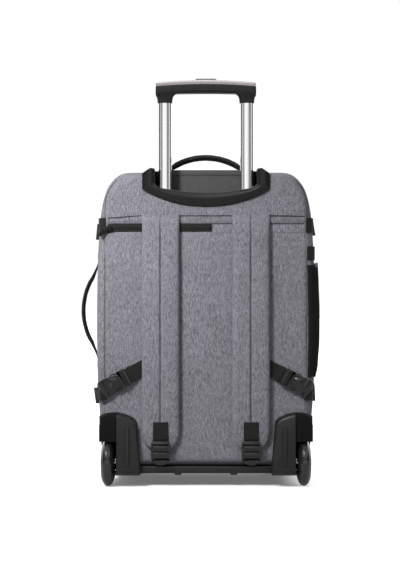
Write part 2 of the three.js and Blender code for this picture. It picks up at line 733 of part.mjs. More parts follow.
// The back panels share the body's flat back face, inside its round edge
function backSheet(thick) {
  return prismAlongY(flatPoints(bodyLoop(0, EDGE_ROUND)), -GAP - thick, -GAP);
}

function makeBackPanels(recess, housings) {
  const sheet = backSheet(PANEL_THICK);
  const zipBottom = POCKET_ZIP_TOP - POCKET_ZIP_HEIGHT;
  const zipArea = block(-BODY_WIDTH, POCKET_ZIP_END + GAP, BACK_FACE - 1, 0, zipBottom, POCKET_ZIP_TOP);
  const yoke = cut(sheet, below(YOKE_SEAM), recess);
  const flap = cut(sheet, above(YOKE_SEAM - GAP), below(POCKET_ZIP_TOP + GAP), recess);
  const panel = cut(sheet, above(POCKET_ZIP_TOP), zipArea, ...housings);
  const zipStrip = block(
    -BODY_WIDTH,
    POCKET_ZIP_END,
    -GAP - BACK_ZIP_THICK,
    0,
    zipBottom + GAP,
    POCKET_ZIP_TOP - GAP,
  );
  const zip = backSheet(BACK_ZIP_THICK).intersect(zipStrip);
  return { yoke, flap, panel, zip };
}

function makeBaseTray(housings) {
  const width = 2 * TRAY_HALF_WIDTH;
  const depth = TRAY_FRONT - TRAY_BACK;
  const middle = (TRAY_FRONT + TRAY_BACK) / 2;
  const top = TRAY_BOTTOM + TRAY_HEIGHT;
  const outside = prismAlongZ(roundedRectangle(0, middle, width, depth, 16), TRAY_BOTTOM, top);
  const inside = prismAlongZ(
    roundedRectangle(0, middle, width - 2 * TRAY_WALL, depth - 2 * TRAY_WALL, 16 - TRAY_WALL),
    TRAY_BOTTOM + TRAY_WALL,
    top + 1,
  );
  const nub = (side) =>
    block(
      side * (NUB_X - NUB_LENGTH / 2),
      side * (NUB_X + NUB_LENGTH / 2),
      TRAY_BACK,
      TRAY_BACK + NUB_DEPTH,
      TRAY_BOTTOM - NUB_HEIGHT,
      TRAY_BOTTOM + 1,
    );
  return cut(join(outside.subtract(inside), nub(-1), nub(1)), ...housings);
}

function makeFoot(side) {
  const loopAt = (z, extra) =>
    roundedRectangle(side * FOOT_X, FOOT_Y, FOOT_LENGTH + extra, FOOT_DEPTH + extra, 6).map(
      ([x, y]) => new THREE.Vector3(x, y, z),
    );
  return loft([loopAt(0, -FOOT_DRAFT), loopAt(TRAY_BOTTOM - GAP, 0)]);
}

// An arched carrying handle: its path bends out of a flat face at height 0 and lies on it at both ends
function handleOutline(span, rise, thick) {
  const radius = (span ** 2 / 4 + rise ** 2) / (2 * rise);
  const sweep = Math.asin(span / 2 / radius);
  const steps = 12;
  const face = GAP + HANDLE_TAB_THICK / 2;
  const crown = rise - thick / 2;
  const path = [];
  for (let i = 0; i <= steps; i++) {
    const angle = -sweep + (2 * sweep * i) / steps;
    path.push([radius * Math.sin(angle), crown - radius + radius * Math.cos(angle)]);
  }
  const arch = path.filter((p) => p[1] > face + HANDLE_TAB_THICK);
  const end = span / 2 + HANDLE_TAB;
  const foot = span / 2 + HANDLE_TAB * 0.25;
  const full = [[-end, face], [-foot, face], ...arch, [foot, face], [end, face]];
  const swell = (share) => {
    const middle = Math.min(share, 1 - share) * full.length;
    return HANDLE_TAB_THICK + (thick - HANDLE_TAB_THICK) * Math.min(Math.max(middle - 1, 0) / 3, 1);
  };
  return stripOutline(full, swell);
}

function makeTopHandle() {
  const outline = handleOutline(TOP_HANDLE_SPAN, TOP_HANDLE_RISE, TOP_HANDLE_THICK).map(([x, z]) => [
    x,
    z + BODY_TOP,
  ]);
  const half = TOP_HANDLE_WIDTH / 2;
  return prismAlongY(outline, TOP_HANDLE_Y - half, TOP_HANDLE_Y + half);
}

// Half width of the body at a height, with no inset
function halfWidthAt(z) {
  const up = THREE.MathUtils.clamp((z - BODY_BOTTOM) / BODY_HEIGHT, 0, 1);
  for (let i = 1; i < SIDE_ROWS.length; i++) {
    const a = SIDE_ROWS[i - 1];
    const b = SIDE_ROWS[i];
    if (up <= b.up) return (BODY_WIDTH / 2) * (a.out + ((b.out - a.out) * (up - a.up)) / (b.up - a.up));
  }
  return (BODY_WIDTH / 2) * SIDE_ROWS[SIDE_ROWS.length - 1].out;
}

// The widest that the body gets between two heights
function widestBetween(low, high) {
  const rows = SIDE_ROWS.map((row) => BODY_BOTTOM + BODY_HEIGHT * row.up).filter((z) => z > low && z < high);
  return Math.max(...[low, high, ...rows].map(halfWidthAt));
}

// The grab handle on the left side
function makeSideHandle() {
  const foot = SIDE_HANDLE_SPAN / 2;
  const reach = foot + HANDLE_TAB;
  const low = widestBetween(SIDE_HANDLE_Z - reach, SIDE_HANDLE_Z - foot);
  const high = widestBetween(SIDE_HANDLE_Z + foot, SIDE_HANDLE_Z + reach);
  const outline = handleOutline(SIDE_HANDLE_SPAN, SIDE_HANDLE_RISE, SIDE_HANDLE_THICK).map(([along, out]) => [
    -THREE.MathUtils.lerp(low, high, (along / foot + 1) / 2) - out,
    SIDE_HANDLE_Z + along,
  ]);
  const half = SIDE_HANDLE_WIDTH / 2;
  return prismAlongY(outline.reverse(), SIDE_HANDLE_Y - half, SIDE_HANDLE_Y + half);
}

const STRAP_TOP = YOKE_SEAM - GAP;

function makeShoulderStrap(side) {
  const length = STRAP_TOP - STRAP_BOTTOM;
  const loops = STRAP_ROWS.map((row) => {
    const half = (STRAP_WIDTH / 2) * row.wide;
    const back = BACK_FACE - GAP - STRAP_LIFT * row.lift;
    const z = STRAP_TOP - length * row.along;
    const right = STRAP_SECTION.map((p) => [half * p.across, back - STRAP_THICK * row.thick * p.out]);
    const left = right.slice(1).map(([x, y]) => [-x, y]).reverse();
    return [...right, ...left].map(([x, y]) => new THREE.Vector3(side * STRAP_X + x, y, z));
  });
  return loft(loops);
}

// The strap's front face at a share along it
function strapFace(z) {
  const along = (STRAP_TOP - z) / (STRAP_TOP - STRAP_BOTTOM);
  const after = Math.max(STRAP_ROWS.findIndex((row) => row.along >= along), 1);
  const a = STRAP_ROWS[after - 1];
  const b = STRAP_ROWS[after];
  const t = (along - a.along) / (b.along - a.along);
  const thick = STRAP_THICK * (a.thick + (b.thick - a.thick) * t);
  const lift = STRAP_LIFT * (a.lift + (b.lift - a.lift) * t);
  return BACK_FACE - GAP - lift - thick;
}

const LOCK_TOP = LOCK_BOTTOM + LOCK_HEIGHT;
// The lock's back face clears the strap's front face where its top edge overlaps the strap's end
const LOCK_BACK = strapFace(LOCK_TOP) - GAP;
const LOCK_FRONT = LOCK_BACK - LOCK_THICK;

// The short webbing sewn on the strap's end, bending into the lock's first slot
function makeStrapWebbing(side) {
  const half = WEBBING_THICK / 2;
  const slotTop = LOCK_TOP - (LOCK_PITCH - LOCK_SLOT) / 2;
  const path = [
    [strapFace(STRAP_WEBBING_TOP) - GAP - half, STRAP_WEBBING_TOP],
    [strapFace(LOCK_TOP + 14) - GAP - half, LOCK_TOP + 14],
    [LOCK_FRONT - GAP - half, LOCK_TOP + 2],
    [LOCK_FRONT - GAP - half, slotTop],
  ];
  const x = side * STRAP_X;
  return prismAlongX(stripOutline(path, WEBBING_THICK), x - WEBBING_WIDTH / 2, x + WEBBING_WIDTH / 2);
}

// A flat ladder lock with a round lower end and three slots
function makeLadderLock(side) {
  const x = side * STRAP_X;
  const radius = LOCK_WIDTH / 2 - 2;
  const outline = [];
  const steps = 8;
  for (let i = 0; i <= steps; i++) {
    const angle = Math.PI + (Math.PI * i) / steps;
    outline.push([x + (LOCK_WIDTH / 2) * Math.cos(angle), LOCK_BOTTOM + radius + radius * Math.sin(angle)]);
  }
  outline.push([x + LOCK_WIDTH / 2, LOCK_TOP - 4], [x + LOCK_WIDTH / 2 - 4, LOCK_TOP]);
  outline.push([x - LOCK_WIDTH / 2 + 4, LOCK_TOP], [x - LOCK_WIDTH / 2, LOCK_TOP - 4]);
  const halfSlot = WEBBING_WIDTH / 2 + 0.5;
  const slots = [0, 1, 2].map((index) => {
    const top = LOCK_TOP - LOCK_PITCH / 2 - LOCK_PITCH * index;
    return block(x - halfSlot, x + halfSlot, LOCK_FRONT - 1, LOCK_BACK + 1, top - LOCK_SLOT, top);
  });
  return cut(prismAlongY(outline, LOCK_FRONT, LOCK_BACK), ...slots);
}

// The tab that holds the lock to the back panel
function makeLockTab(side) {
  const x = side * STRAP_X;
  const half = WEBBING_WIDTH / 2;
  return block(x - half, x + half, LOCK_BACK + GAP, BACK_FACE - GAP, LOCK_BOTTOM + 6, LOCK_BOTTOM + 6 + LOCK_TAB_HEIGHT);
}

// What lies along the slanting side webbing is made along +x, then turned and moved into place
function onSideWebbing(solid) {
  return solid.rotate([0, SIDE_WEBBING_SLANT, 0]).translate([SIDE_WEBBING_X, 0, SIDE_WEBBING_Z]);
}

const WEBBING_BACK = BACK_FACE - GAP;
const BUCKLE_BACK = WEBBING_BACK - BUCKLE_LIFT;
const FEMALE_START = MALE_START + MALE_LENGTH + GAP;
const FEMALE_END = FEMALE_START + FEMALE_LENGTH;

function makeSideWebbing() {
  const half = WEBBING_WIDTH / 2;
  const strip = block(-SIDE_WEBBING_TAIL, MALE_START - GAP, WEBBING_BACK - WEBBING_THICK, WEBBING_BACK, -half, half);
  return onSideWebbing(strip);
}

// The buckle's plug: a ladder frame and the tongue that enters the socket
function makeBucklePlug() {
  const half = BUCKLE_WIDTH / 2;
  const front = BUCKLE_BACK - BUCKLE_THICK * 0.8;
  const frame = block(MALE_START, MALE_START + MALE_LENGTH, front, BUCKLE_BACK, -half, half);
  const slot = (from) =>
    block(from, from + 3, front - 1, BUCKLE_BACK + 1, -WEBBING_WIDTH / 2 - 0.3, WEBBING_WIDTH / 2 + 0.3);
  const middle = BUCKLE_BACK - BUCKLE_THICK / 2;
  const tongue = block(
    MALE_START + MALE_LENGTH - 1,
    FEMALE_START + TONGUE_LENGTH,
    middle - TONGUE_THICK / 2,
    middle + TONGUE_THICK / 2,
    -TONGUE_WIDTH / 2,
    TONGUE_WIDTH / 2,
  );
  return onSideWebbing(join(cut(frame, slot(MALE_START + 3), slot(MALE_START + 9)), tongue));
}

// The buckle's socket: a faceted block that narrows at its mouth, with a raised rear face
function makeBuckleSocket() {
  const half = BUCKLE_WIDTH / 2;
  const loopAt = (y, mouth, waist, tail) =>
    [
      [FEMALE_START, -half * mouth],
      [FEMALE_START + FEMALE_LENGTH * 0.3, -half * waist],
      [FEMALE_END - FEMALE_LENGTH * 0.12, -half * waist],
      [FEMALE_END, -half * tail],
      [FEMALE_END, half * tail],
      [FEMALE_END - FEMALE_LENGTH * 0.12, half * waist],
      [FEMALE_START + FEMALE_LENGTH * 0.3, half * waist],
      [FEMALE_START, half * mouth],
    ].map(([x, z]) => new THREE.Vector3(x, y, z));
  const body = loft([
    loopAt(BUCKLE_BACK, 0.72, 1, 0.9),
    loopAt(BUCKLE_BACK - BUCKLE_THICK * 0.6, 0.72, 1, 0.9),
    loopAt(BUCKLE_BACK - BUCKLE_THICK, 0.5, 0.8, 0.7),
  ]);
  const middle = BUCKLE_BACK - BUCKLE_THICK / 2;
  const mouth = block(
    FEMALE_START - 1,
    FEMALE_START + TONGUE_LENGTH + GAP,
    middle - TONGUE_THICK / 2 - GAP,
    middle + TONGUE_THICK / 2 + GAP,
    -TONGUE_WIDTH / 2 - GAP,
    TONGUE_WIDTH / 2 + GAP,
  );
  return onSideWebbing(body.subtract(mouth));
}

// A band that starts on the back, turns round the body's edge and runs along its side
function cornerBand(z, length, backGap) {
  const reach = WEBBING_WIDTH / 2;
  const side = widestBetween(z - reach, z + reach) + GAP + WEBBING_THICK / 2;
  const back = BACK_FACE - backGap - WEBBING_THICK / 2;
  const radius = EDGE_ROUND;
  const path = [[side - radius - BAND_START, back]];
  const steps = 6;
  for (let i = 0; i <= steps; i++) {
    const angle = ((Math.PI / 2) * i) / steps;
    path.push([side - radius + radius * Math.sin(angle), back + radius - radius * Math.cos(angle)]);
  }
  path.push([side, length]);
  return { band: prismAlongZ(stripOutline(path, WEBBING_THICK), z - reach, z + reach), side: side + WEBBING_THICK / 2 };
}

// A plain three-bar glide lying on a side band at distance x out
function makeGlide(x, z) {
  const frame = block(
    x + GAP,
    x + GAP + GLIDE_THICK,
    GLIDE_Y - GLIDE_LENGTH / 2,
    GLIDE_Y + GLIDE_LENGTH / 2,
    z - GLIDE_WIDTH / 2,
    z + GLIDE_WIDTH / 2,
  );
  const slot = (y) =>
    block(x - 1, x + GLIDE_THICK + 2, y - 1.4, y + 1.4, z - WEBBING_WIDTH / 2 - 0.3, z + WEBBING_WIDTH / 2 + 0.3);
  return cut(frame, slot(GLIDE_Y - GLIDE_LENGTH / 5), slot(GLIDE_Y + GLIDE_LENGTH / 5));
}

// The side pocket as a pouch with an open top, later parted into its gusset and its outer panel
function pocketLoops(inset, topExtra) {
  return POCKET_ROWS.map((row, index) => {
    const last = index === POCKET_ROWS.length - 1;
    const first = index === 0;
    const z = POCKET_BOTTOM + POCKET_HEIGHT * row.up + (last ? topExtra : 0) + (first ? inset : 0);
    const wall = halfWidthAt(Math.min(z, POCKET_TOP));
    const out = wall + POCKET_BULGE * row.bulge - inset;
    const back = POCKET_BACK + inset;
    const front = POCKET_FRONT - inset;
    const root = BODY_WIDTH / 2 - 2 * EDGE_ROUND;
    return [
      [root, back + POCKET_ROUND],
      [wall - EDGE_ROUND + 4 - inset, back],
      [out - 5, back + 6],
      [out, back + POCKET_ROUND],
      [out, front - POCKET_ROUND],
      [out - 4, front - 4],
      [out - 14, front],
      [root, front - POCKET_ROUND],
    ].map(([x, y]) => new THREE.Vector3(x, y, z));
  });
}

function makeSidePocket(envelope) {
  const pouch = cut(loft(pocketLoops(0, 0)), loft(pocketLoops(POCKET_WALL, 5)), envelope);
  const seam = POCKET_BACK + GUSSET_WIDTH;
  const rear = block(-FAR, FAR, -FAR, seam, -FAR, FAR);
  const fore = block(-FAR, FAR, seam + GAP, FAR, -FAR, FAR);
  return { gusset: pouch.intersect(rear), panel: pouch.intersect(fore) };
}

// The tab above the pocket's mouth, on the rear corner
function makePocketTab() {
  const z = POCKET_TOP + 8 + POCKET_TAB_HEIGHT / 2;
  const half = POCKET_TAB_HEIGHT / 2;
  const side = widestBetween(z - half, z + half) + GAP + WEBBING_THICK / 2;
  const back = BACK_FACE - WEBBING_THICK / 2;
  const path = [[side - EDGE_ROUND, back]];
  const steps = 5;
  for (let i = 1; i <= steps; i++) {
    const angle = ((Math.PI / 2) * i) / steps;
    path.push([
      side - EDGE_ROUND + EDGE_ROUND * Math.sin(angle),
      back + EDGE_ROUND - EDGE_ROUND * Math.cos(angle),
    ]);
  }
  path.push([side, EDGE_ROUND + 26]);
  return prismAlongZ(stripOutline(path, WEBBING_THICK), z - half, z + half);
}

// The wheel housing's outer form on the right, grown by a clearance
function housingEnvelope(grow) {
  const width = HOUSING_OUTER - LEG_INNER;
  const low = HOUSING_TOP - ARCH_RISE;
  const arch = ARCH_ROWS.map((row) => [
    LEG_INNER - grow + (width + 2 * grow) * row.out,
    low + grow + ARCH_RISE * row.up,
  ]);
  const outline = [
    [LEG_FOOT - grow, HOUSING_BOTTOM - grow],
    [HOUSING_OUTER + grow, HOUSING_BOTTOM - grow],
    ...arch.reverse(),
  ];
  const round = 24;
  const back = HOUSING_BACK - grow;
  const profile = [
    [back + 5, HOUSING_BOTTOM - grow],
    [HOUSING_FRONT + grow, HOUSING_BOTTOM - grow],
    [HOUSING_FRONT + grow, HOUSING_TOP + grow],
  ];
  const steps = 5;
  for (let i = 0; i <= steps; i++) {
    const angle = ((Math.PI / 2) * i) / steps;
    profile.push([
      back + round * (1 - Math.sin(angle)),
      HOUSING_TOP + grow - round * (1 - Math.cos(angle)),
    ]);
  }
  profile.push([back, HOUSING_BOTTOM + 6]);
  const front = prismAlongY(outline, back - 1, HOUSING_FRONT + grow + 1);
  return front.intersect(prismAlongX(profile, LEG_FOOT - 20, HOUSING_OUTER + 20));
}

// A cylinder along x
function rod(radius, xFrom, xTo, y, z, sides) {
  const geometry = new THREE.CylinderGeometry(radius, radius, xTo - xFrom, sides);
  return solidOf(geometry.rotateZ(Math.PI / 2).translate((xFrom + xTo) / 2, y, z));
}

function makeHousing() {
  const reach = WHEEL_RADIUS + WELL_CLEARANCE;
  const far = HOUSING_OUTER + 20;
  const well = rod(reach, LEG_OUTER, far, WHEEL_Y, WHEEL_RADIUS, WHEEL_SIDES);
  const under = block(LEG_OUTER, far, WHEEL_Y - reach, WHEEL_Y + reach, -10, WHEEL_RADIUS);
  const rearward = block(LEG_OUTER, far, HOUSING_BACK - 10, WHEEL_Y, -10, CAP_BOTTOM);
  const legHollow = block(
    LEG_INNER + HOUSING_WALL,
    LEG_OUTER - HOUSING_WALL,
    HOUSING_BACK + HOUSING_WALL + 5,
    HOUSING_FRONT + 1,
    HOUSING_BOTTOM + HOUSING_WALL,
    HOUSING_TOP - ARCH_RISE - 2,
  );
  const capHollow = block(
    LEG_OUTER + HOUSING_WALL,
    HOUSING_OUTER - HOUSING_WALL,
    0,
    HOUSING_FRONT + 1,
    WHEEL_RADIUS + reach + HOUSING_WALL,
    HOUSING_TOP - ARCH_RISE,
  );
  const boss = rod(BOSS_RADIUS, LEG_INNER + 1, LEG_OUTER, WHEEL_Y, WHEEL_RADIUS, 20);
  const ribX = (LEG_INNER + LEG_OUTER) / 2 - 1;
  const ribHeight = RIB_TOP - RIB_BOTTOM;
  const rib = prismAlongY(
    roundedRectangle(ribX, (RIB_TOP + RIB_BOTTOM) / 2, RIB_WIDTH, ribHeight, RIB_WIDTH / 2 - 0.1),
    HOUSING_BACK - RIB_PROUD,
    HOUSING_BACK + 1,
  );
  const bore = rod(AXLE_RADIUS + GAP, LEG_INNER + HOUSING_WALL, far, WHEEL_Y, WHEEL_RADIUS, 20);
  const body = cut(housingEnvelope(0), well, under, rearward, legHollow, capHollow);
  return cut(join(body, boss, rib), bore);
}

// A wheel part turned about its axle: rows of distance from the middle plane and radius
function turned(rows) {
  const profile = rows.map((row) => new THREE.Vector2(row.radius, row.out)).reverse();
  profile.push(profile[0].clone());
  const geometry = new THREE.LatheGeometry(profile, WHEEL_SIDES);
  const made = solidOf(geometry.rotateZ(-Math.PI / 2));
  return made.translate([WHEEL_X, WHEEL_Y, WHEEL_RADIUS]);
}

// One half of the tyre's profile, from the hub outwards: half width, and reach from hub to tread
const TYRE_ROWS = [
  { out: 0.84, reach: 0 },
  { out: 0.87, reach: 0.12 },
  { out: 0.78, reach: 0.34 },
  { out: 0.62, reach: 0.58 },
  { out: 0.42, reach: 0.8 },
  { out: 0.22, reach: 0.94 },
  { out: 0.06, reach: 1 },
];

function makeTyre() {
  const half = WHEEL_WIDTH / 2;
  const inner = HUB_RADIUS + GAP;
  const face = TYRE_ROWS.map((row) => ({ out: half * row.out, radius: inner + (WHEEL_RADIUS - inner) * row.reach }));
  return turned([...face, ...face.map((row) => ({ ...row, out: -row.out })).reverse()]);
}

// One half of the hub's profile, from the bore outwards: half width, and radius as a share of the hub's
const HUB_ROWS = [
  { out: 1, radius: (BORE_RADIUS + GAP) / HUB_RADIUS },
  { out: 1, radius: 0.38 },
  { out: 0.6, radius: 0.5 },
  { out: 0.6, radius: 0.82 },
  { out: 0.84, radius: 0.9 },
  { out: 0.84, radius: 1 },
];

function makeHub() {
  const half = WHEEL_WIDTH / 2;
  const face = HUB_ROWS.map((row) => ({ out: half * row.out, radius: HUB_RADIUS * row.radius }));
  return turned([...face, ...face.map((row) => ({ ...row, out: -row.out })).reverse()]);
}

function makeAxle() {
  const half = WHEEL_WIDTH / 2;
  const from = LEG_INNER + HOUSING_WALL + GAP;
  const headFrom = WHEEL_X + half + GAP;
  const shaft = rod(AXLE_RADIUS, from, headFrom + 1, WHEEL_Y, WHEEL_RADIUS, 16);
  const head = rod(AXLE_HEAD, headFrom, headFrom + AXLE_HEAD_THICK, WHEEL_Y, WHEEL_RADIUS, 20);
  return join(shaft, head);
}

function buildBag() {
  const bag = new THREE.Group();
  const put = (name, solid, material) => {
    const mesh = new THREE.Mesh(geometryOf(solid), material);
    mesh.name = name;
    bag.add(mesh);
    return mesh;
  };
  const putPair = (name, solid, material) => {
    put(name + "_right", solid, material);
    put(name + "_left", mirrored(solid), material);
  };

  const grown = housingEnvelope(GAP);
  const housings = [grown, mirrored(grown)];
  const shellRecess = recessCut(-40, RECESS_DEPTH + RECESS_PANEL_THICK + 2 * GAP);
  put("body_shell", makeBodyShell(shellRecess, housings), cloth);
  put("front_panel", makeFrontPanel(), cloth);
  put("main_zip", makeMainZip(), dark);
  const slider = makeSlider().translate([0, 0, BODY_TOP + GAP + ZIP_THICK]);
  put("main_zip_slider_right", slider.translate([MAIN_SLIDER_X, GUSSET_DEPTH, 0]), blackMetal);
  put("main_zip_slider_left", mirrored(slider).translate([-MAIN_SLIDER_X, GUSSET_DEPTH, 0]), blackMetal);

  const { yoke, flap, panel, zip } = makeBackPanels(shellRecess, housings);
  put("yoke", yoke, cloth);
  put("zip_flap", flap, cloth);
  put("back_pocket", panel, cloth);
  put("back_zip", zip, dark);

  put("base_tray", makeBaseTray(housings), plastic);
  put("foot_right", makeFoot(1), plastic);
  put("foot_left", makeFoot(-1), plastic);

  put("collar", makeCollar([tubeSlot(-1), tubeSlot(1)]), plastic);
  put("recess_panel", makeRecessPanel(), panelGrey);
  for (const [word, side] of [["right", 1], ["left", -1]]) {
    const sleeve = makeTube(side, SLEEVE_WIDTH, SLEEVE_DEPTH, SLEEVE_WALL, SLEEVE_BOTTOM, SLEEVE_TOP);
    put("guide_sleeve_" + word, sleeve, metal);
    const lower = makeTube(side, LOWER_WIDTH, LOWER_DEPTH, LOWER_WALL, LOWER_TUBE_BOTTOM, LOWER_TUBE_TOP);
    put("lower_tube_" + word, lower, metal);
    const tubeTop = GRIP_BOTTOM - SOCKET_DROP + TUBE_ENGAGED;
    const upper = makeTube(side, TUBE_WIDTH, TUBE_DEPTH, TUBE_WALL, UPPER_TUBE_BOTTOM, tubeTop, TUBE_GROOVE);
    put("upper_tube_" + word, upper, metal);
  }
  const bar = gripBar();
  put("grip", makeGripBody(bar), plastic);
  put("grip_cover", makeGripCover(bar), metal);
  put("release_button", makeButton(), plastic);

  put("top_handle", makeTopHandle(), dark);
  put("side_handle", makeSideHandle(), dark);

  for (const [word, side] of [["right", 1], ["left", -1]]) {
    put("shoulder_strap_" + word, makeShoulderStrap(side), cloth);
    put("strap_webbing_" + word, makeStrapWebbing(side), dark);
    put("ladder_lock_" + word, makeLadderLock(side), plastic);
    put("lock_tab_" + word, makeLockTab(side), dark);
  }

  putPair("side_webbing", makeSideWebbing(), dark);
  putPair("buckle_plug", makeBucklePlug(), plastic);
  putPair("buckle_socket", makeBuckleSocket(), plastic);
  const lower = cornerBand(SIDE_BAND_Z, SIDE_BAND_LENGTH, GAP);
  putPair("side_band", lower.band, dark);
  putPair("side_glide", makeGlide(lower.side, SIDE_BAND_Z), plastic);
  const upper = cornerBand(UPPER_BAND_Z, UPPER_BAND_LENGTH, BACK_ZIP_THICK - PANEL_THICK + GAP);
  putPair("upper_band", upper.band, dark);
  putPair("upper_glide", makeGlide(upper.side, UPPER_BAND_Z), plastic);

  const pocket = makeSidePocket(bodyEnvelope(GAP));
  put("side_pocket", pocket.panel, cloth);
  put("pocket_gusset", pocket.gusset, dark);
  put("pocket_tab", makePocketTab(), dark);

  putPair("wheel_housing", makeHousing(), plastic);
  putPair("tyre", makeTyre(), tyreBlack);
  putPair("hub", makeHub(), plastic);
  putPair("axle", makeAxle(), metal);

  const box = new THREE.Box3().setFromObject(bag);
  const middle = box.getCenter(new THREE.Vector3());
  bag.position.set(-middle.x, -middle.y, -box.min.z);
  return bag;
}

export default buildBag();
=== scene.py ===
"""A wheeled backpack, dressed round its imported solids.

Lengths in the tables are millimetres in the bag's own frame: x = 0 in the middle of the back, y = 0 on the
back cloth with the straps at negative y, z = 0 on the floor. at() turns them into the scene's metres.
"""
import bisect
import math

import bpy
from bpy.props import FloatProperty, FloatVectorProperty, PointerProperty
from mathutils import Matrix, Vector, noise


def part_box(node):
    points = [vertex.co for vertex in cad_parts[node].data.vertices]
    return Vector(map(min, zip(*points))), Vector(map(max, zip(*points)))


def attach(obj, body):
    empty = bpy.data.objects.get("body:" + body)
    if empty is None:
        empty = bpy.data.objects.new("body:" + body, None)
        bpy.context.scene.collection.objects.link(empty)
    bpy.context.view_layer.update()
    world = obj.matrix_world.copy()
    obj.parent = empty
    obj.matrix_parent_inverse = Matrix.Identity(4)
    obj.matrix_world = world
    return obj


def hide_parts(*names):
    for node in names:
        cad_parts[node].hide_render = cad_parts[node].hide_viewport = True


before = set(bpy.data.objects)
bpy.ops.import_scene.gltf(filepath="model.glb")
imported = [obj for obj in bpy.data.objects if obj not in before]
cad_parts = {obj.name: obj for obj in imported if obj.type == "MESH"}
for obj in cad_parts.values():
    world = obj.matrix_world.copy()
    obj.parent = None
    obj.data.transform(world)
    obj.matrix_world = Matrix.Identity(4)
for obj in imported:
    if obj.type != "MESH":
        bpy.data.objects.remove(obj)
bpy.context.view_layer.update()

bl_info = {
    "name": "Wheeled Backpack",
    "version": (1, 0, 0),
    "blender": (4, 5, 0),
    "location": "View3D > Sidebar > Backpack",
    "description": "Builds a wheeled backpack round its packed solids",
    "category": "Object",
}

MM = 0.001
COLLAR_LOW, COLLAR_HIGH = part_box("collar")
MID_X = (COLLAR_LOW.x + COLLAR_HIGH.x) / 2
BACK_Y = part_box("body_shell")[0].y


def at(x, y, z):
    """The scene's place for a place in the bag's frame."""
    return Vector((MID_X + x * MM, BACK_Y + y * MM, z * MM))


def place_of(co):
    """The place in the bag's frame for a place in the scene."""
    return (co.x - MID_X) / MM, (co.y - BACK_Y) / MM, co.z / MM


# ---------------------------------------------------------------- sizes

BODY_HALF, BODY_MIDDLE, BODY_TALL = 181, 277, 243  # half its width, its middle height, half its height
EDGE_ROUND, GUSSET, FRONT_DEPTH, FRONT_ROUND = 14, 160, 50, 34
BULGE, BULGE_END = 1.6, 153  # how far the sides stand out half way along, and where the bulge ends
YOKE_SEAM, ZIP_TOP, ZIP_LOW, ZIP_END = 447.5, 435, 421, 9.5
PANEL_HALF, PANEL_INSET = 167, 3.4
PANEL_FACE = -2.3

# Half of the body's outline, as shares of its half width and height, from the middle of the base
OUTLINE = (
    # out, up
    (0, 0), (0.3, 0), (0.6, 0), (0.8, 0), (0.88, 0.001), (0.925, 0.01), (0.945, 0.032), (0.957, 0.085),
    (0.969, 0.155), (0.992, 0.29), (1, 0.43), (0.998, 0.565), (0.991, 0.7), (0.982, 0.77), (0.968, 0.84),
    (0.957, 0.875), (0.937, 0.91), (0.906, 0.944), (0.854, 0.972), (0.794, 0.991), (0.72, 0.999), (0.55, 1),
    (0.3, 1), (0, 1),
)
# Half of each edge of the collar, from the middle out, as shares of its half width and corner rise
COLLAR = (
    # outer x, outer up, ridge x, ridge up, inner x, inner up
    (0, 0, 0, 0, 0, 0),
    (0.24, 0.05, 0.27, 0.05, 0.3, 0.06),
    (0.48, 0.2, 0.55, 0.19, 0.62, 0.25),
    (0.72, 0.47, 0.8, 0.42, 0.88, 0.46),
    (0.9, 0.75, 0.94, 0.65, 0.965, 0.66),
    (0.985, 0.93, 0.99, 0.86, 0.995, 0.88),
    (1, 1.12, 1, 1.1, 1, 1.15),
)
COLLAR_HALF, RIDGE_HALF, INNER_HALF = 105.4, 92, 84.6
COLLAR_BOTTOM, RIDGE_BOTTOM, INNER_BOTTOM, CORNER_RISE = 462, 476.6, 485.6, 30
OUTER_TOP, RIDGE_TOP = 517.5, 526
RECESS_FRONT = 46.4
TUBE_X, TUBE_Y, TUBE_HALF, TUBE_DEEP, TUBE_ROUND = 68.3, 21, 10.9, 6.5, 5  # TUBE_DEEP is half the depth
GROOVE = 5.2  # from the middle of a tube
GRIP_HALF, GRIP_DEEP, GRIP_END_ROUND = 83.8, 13.5, 3.6
STRAP_X, STRAP_HALF, STRAP_TOP, STRAP_LOW = 74.5, 31, 447.2, 64
# Along a shoulder strap from its top
STRAP = (
    # share, width, thickness, lift off the panel
    (0, 1, 0.42, 0.12), (0.03, 1, 0.8, 0.24), (0.08, 0.99, 1, 0.35), (0.3, 1, 1, 0.8), (0.6, 1, 1, 1),
    (0.85, 1, 1, 1), (0.93, 1, 0.9, 1), (0.965, 0.92, 0.75, 1), (0.985, 0.78, 0.62, 1), (1, 0.58, 0.5, 1),
)
WEBBING, WEBBING_THICK = 25, 1.6
TURN_X, TURN_Z, SLANT = 105.4, 195.5, math.radians(29)
TOP_HANDLE_Y, SIDE_HANDLE_Y, SIDE_HANDLE_Z, HANDLE_TAB = 76, 85, 290, 20
POCKET_LOW, POCKET_TALL, POCKET_BACK, POCKET_FRONT = 180, 186, -2, 128
WHEEL_X, WHEEL_Y, WHEEL_R, WHEEL_HALF = 162.3, 8, 39, 12.3
WELL_X, WELL_GAP = 147.6, 4  # the well's inner wall, and its clearance round the wheel
HOUSING_IN, HOUSING_OUT, HOUSING_BACK, HOUSING_FRONT, HOUSING_FOOT = 115.4, 176, -19, 56, 20.9
RIB_X, RIB_HALF, RIB_LOW, RIB_HIGH = 129.6, 3.7, 35.5, 101.5
BEYOND = 200  # past the bag's side, for the tools that cut


# ---------------------------------------------------------------- curves and tables

def spline(points, steps):
    """More points on a smooth curve through these."""
    made, last = [], len(points) - 1
    for i in range(last):
        near = [points[min(max(i + k, 0), last)] for k in (-1, 0, 1, 2)]
        for step in range(steps):
            t = step / steps
            made.append(tuple(
                0.5 * (2 * b + (c - a) * t + (2 * a - 5 * b + 4 * c - d) * t * t
                       + (3 * b - a - 3 * c + d) * t ** 3)
                for a, b, c, d in zip(*near)))
    return made + [tuple(points[-1])]


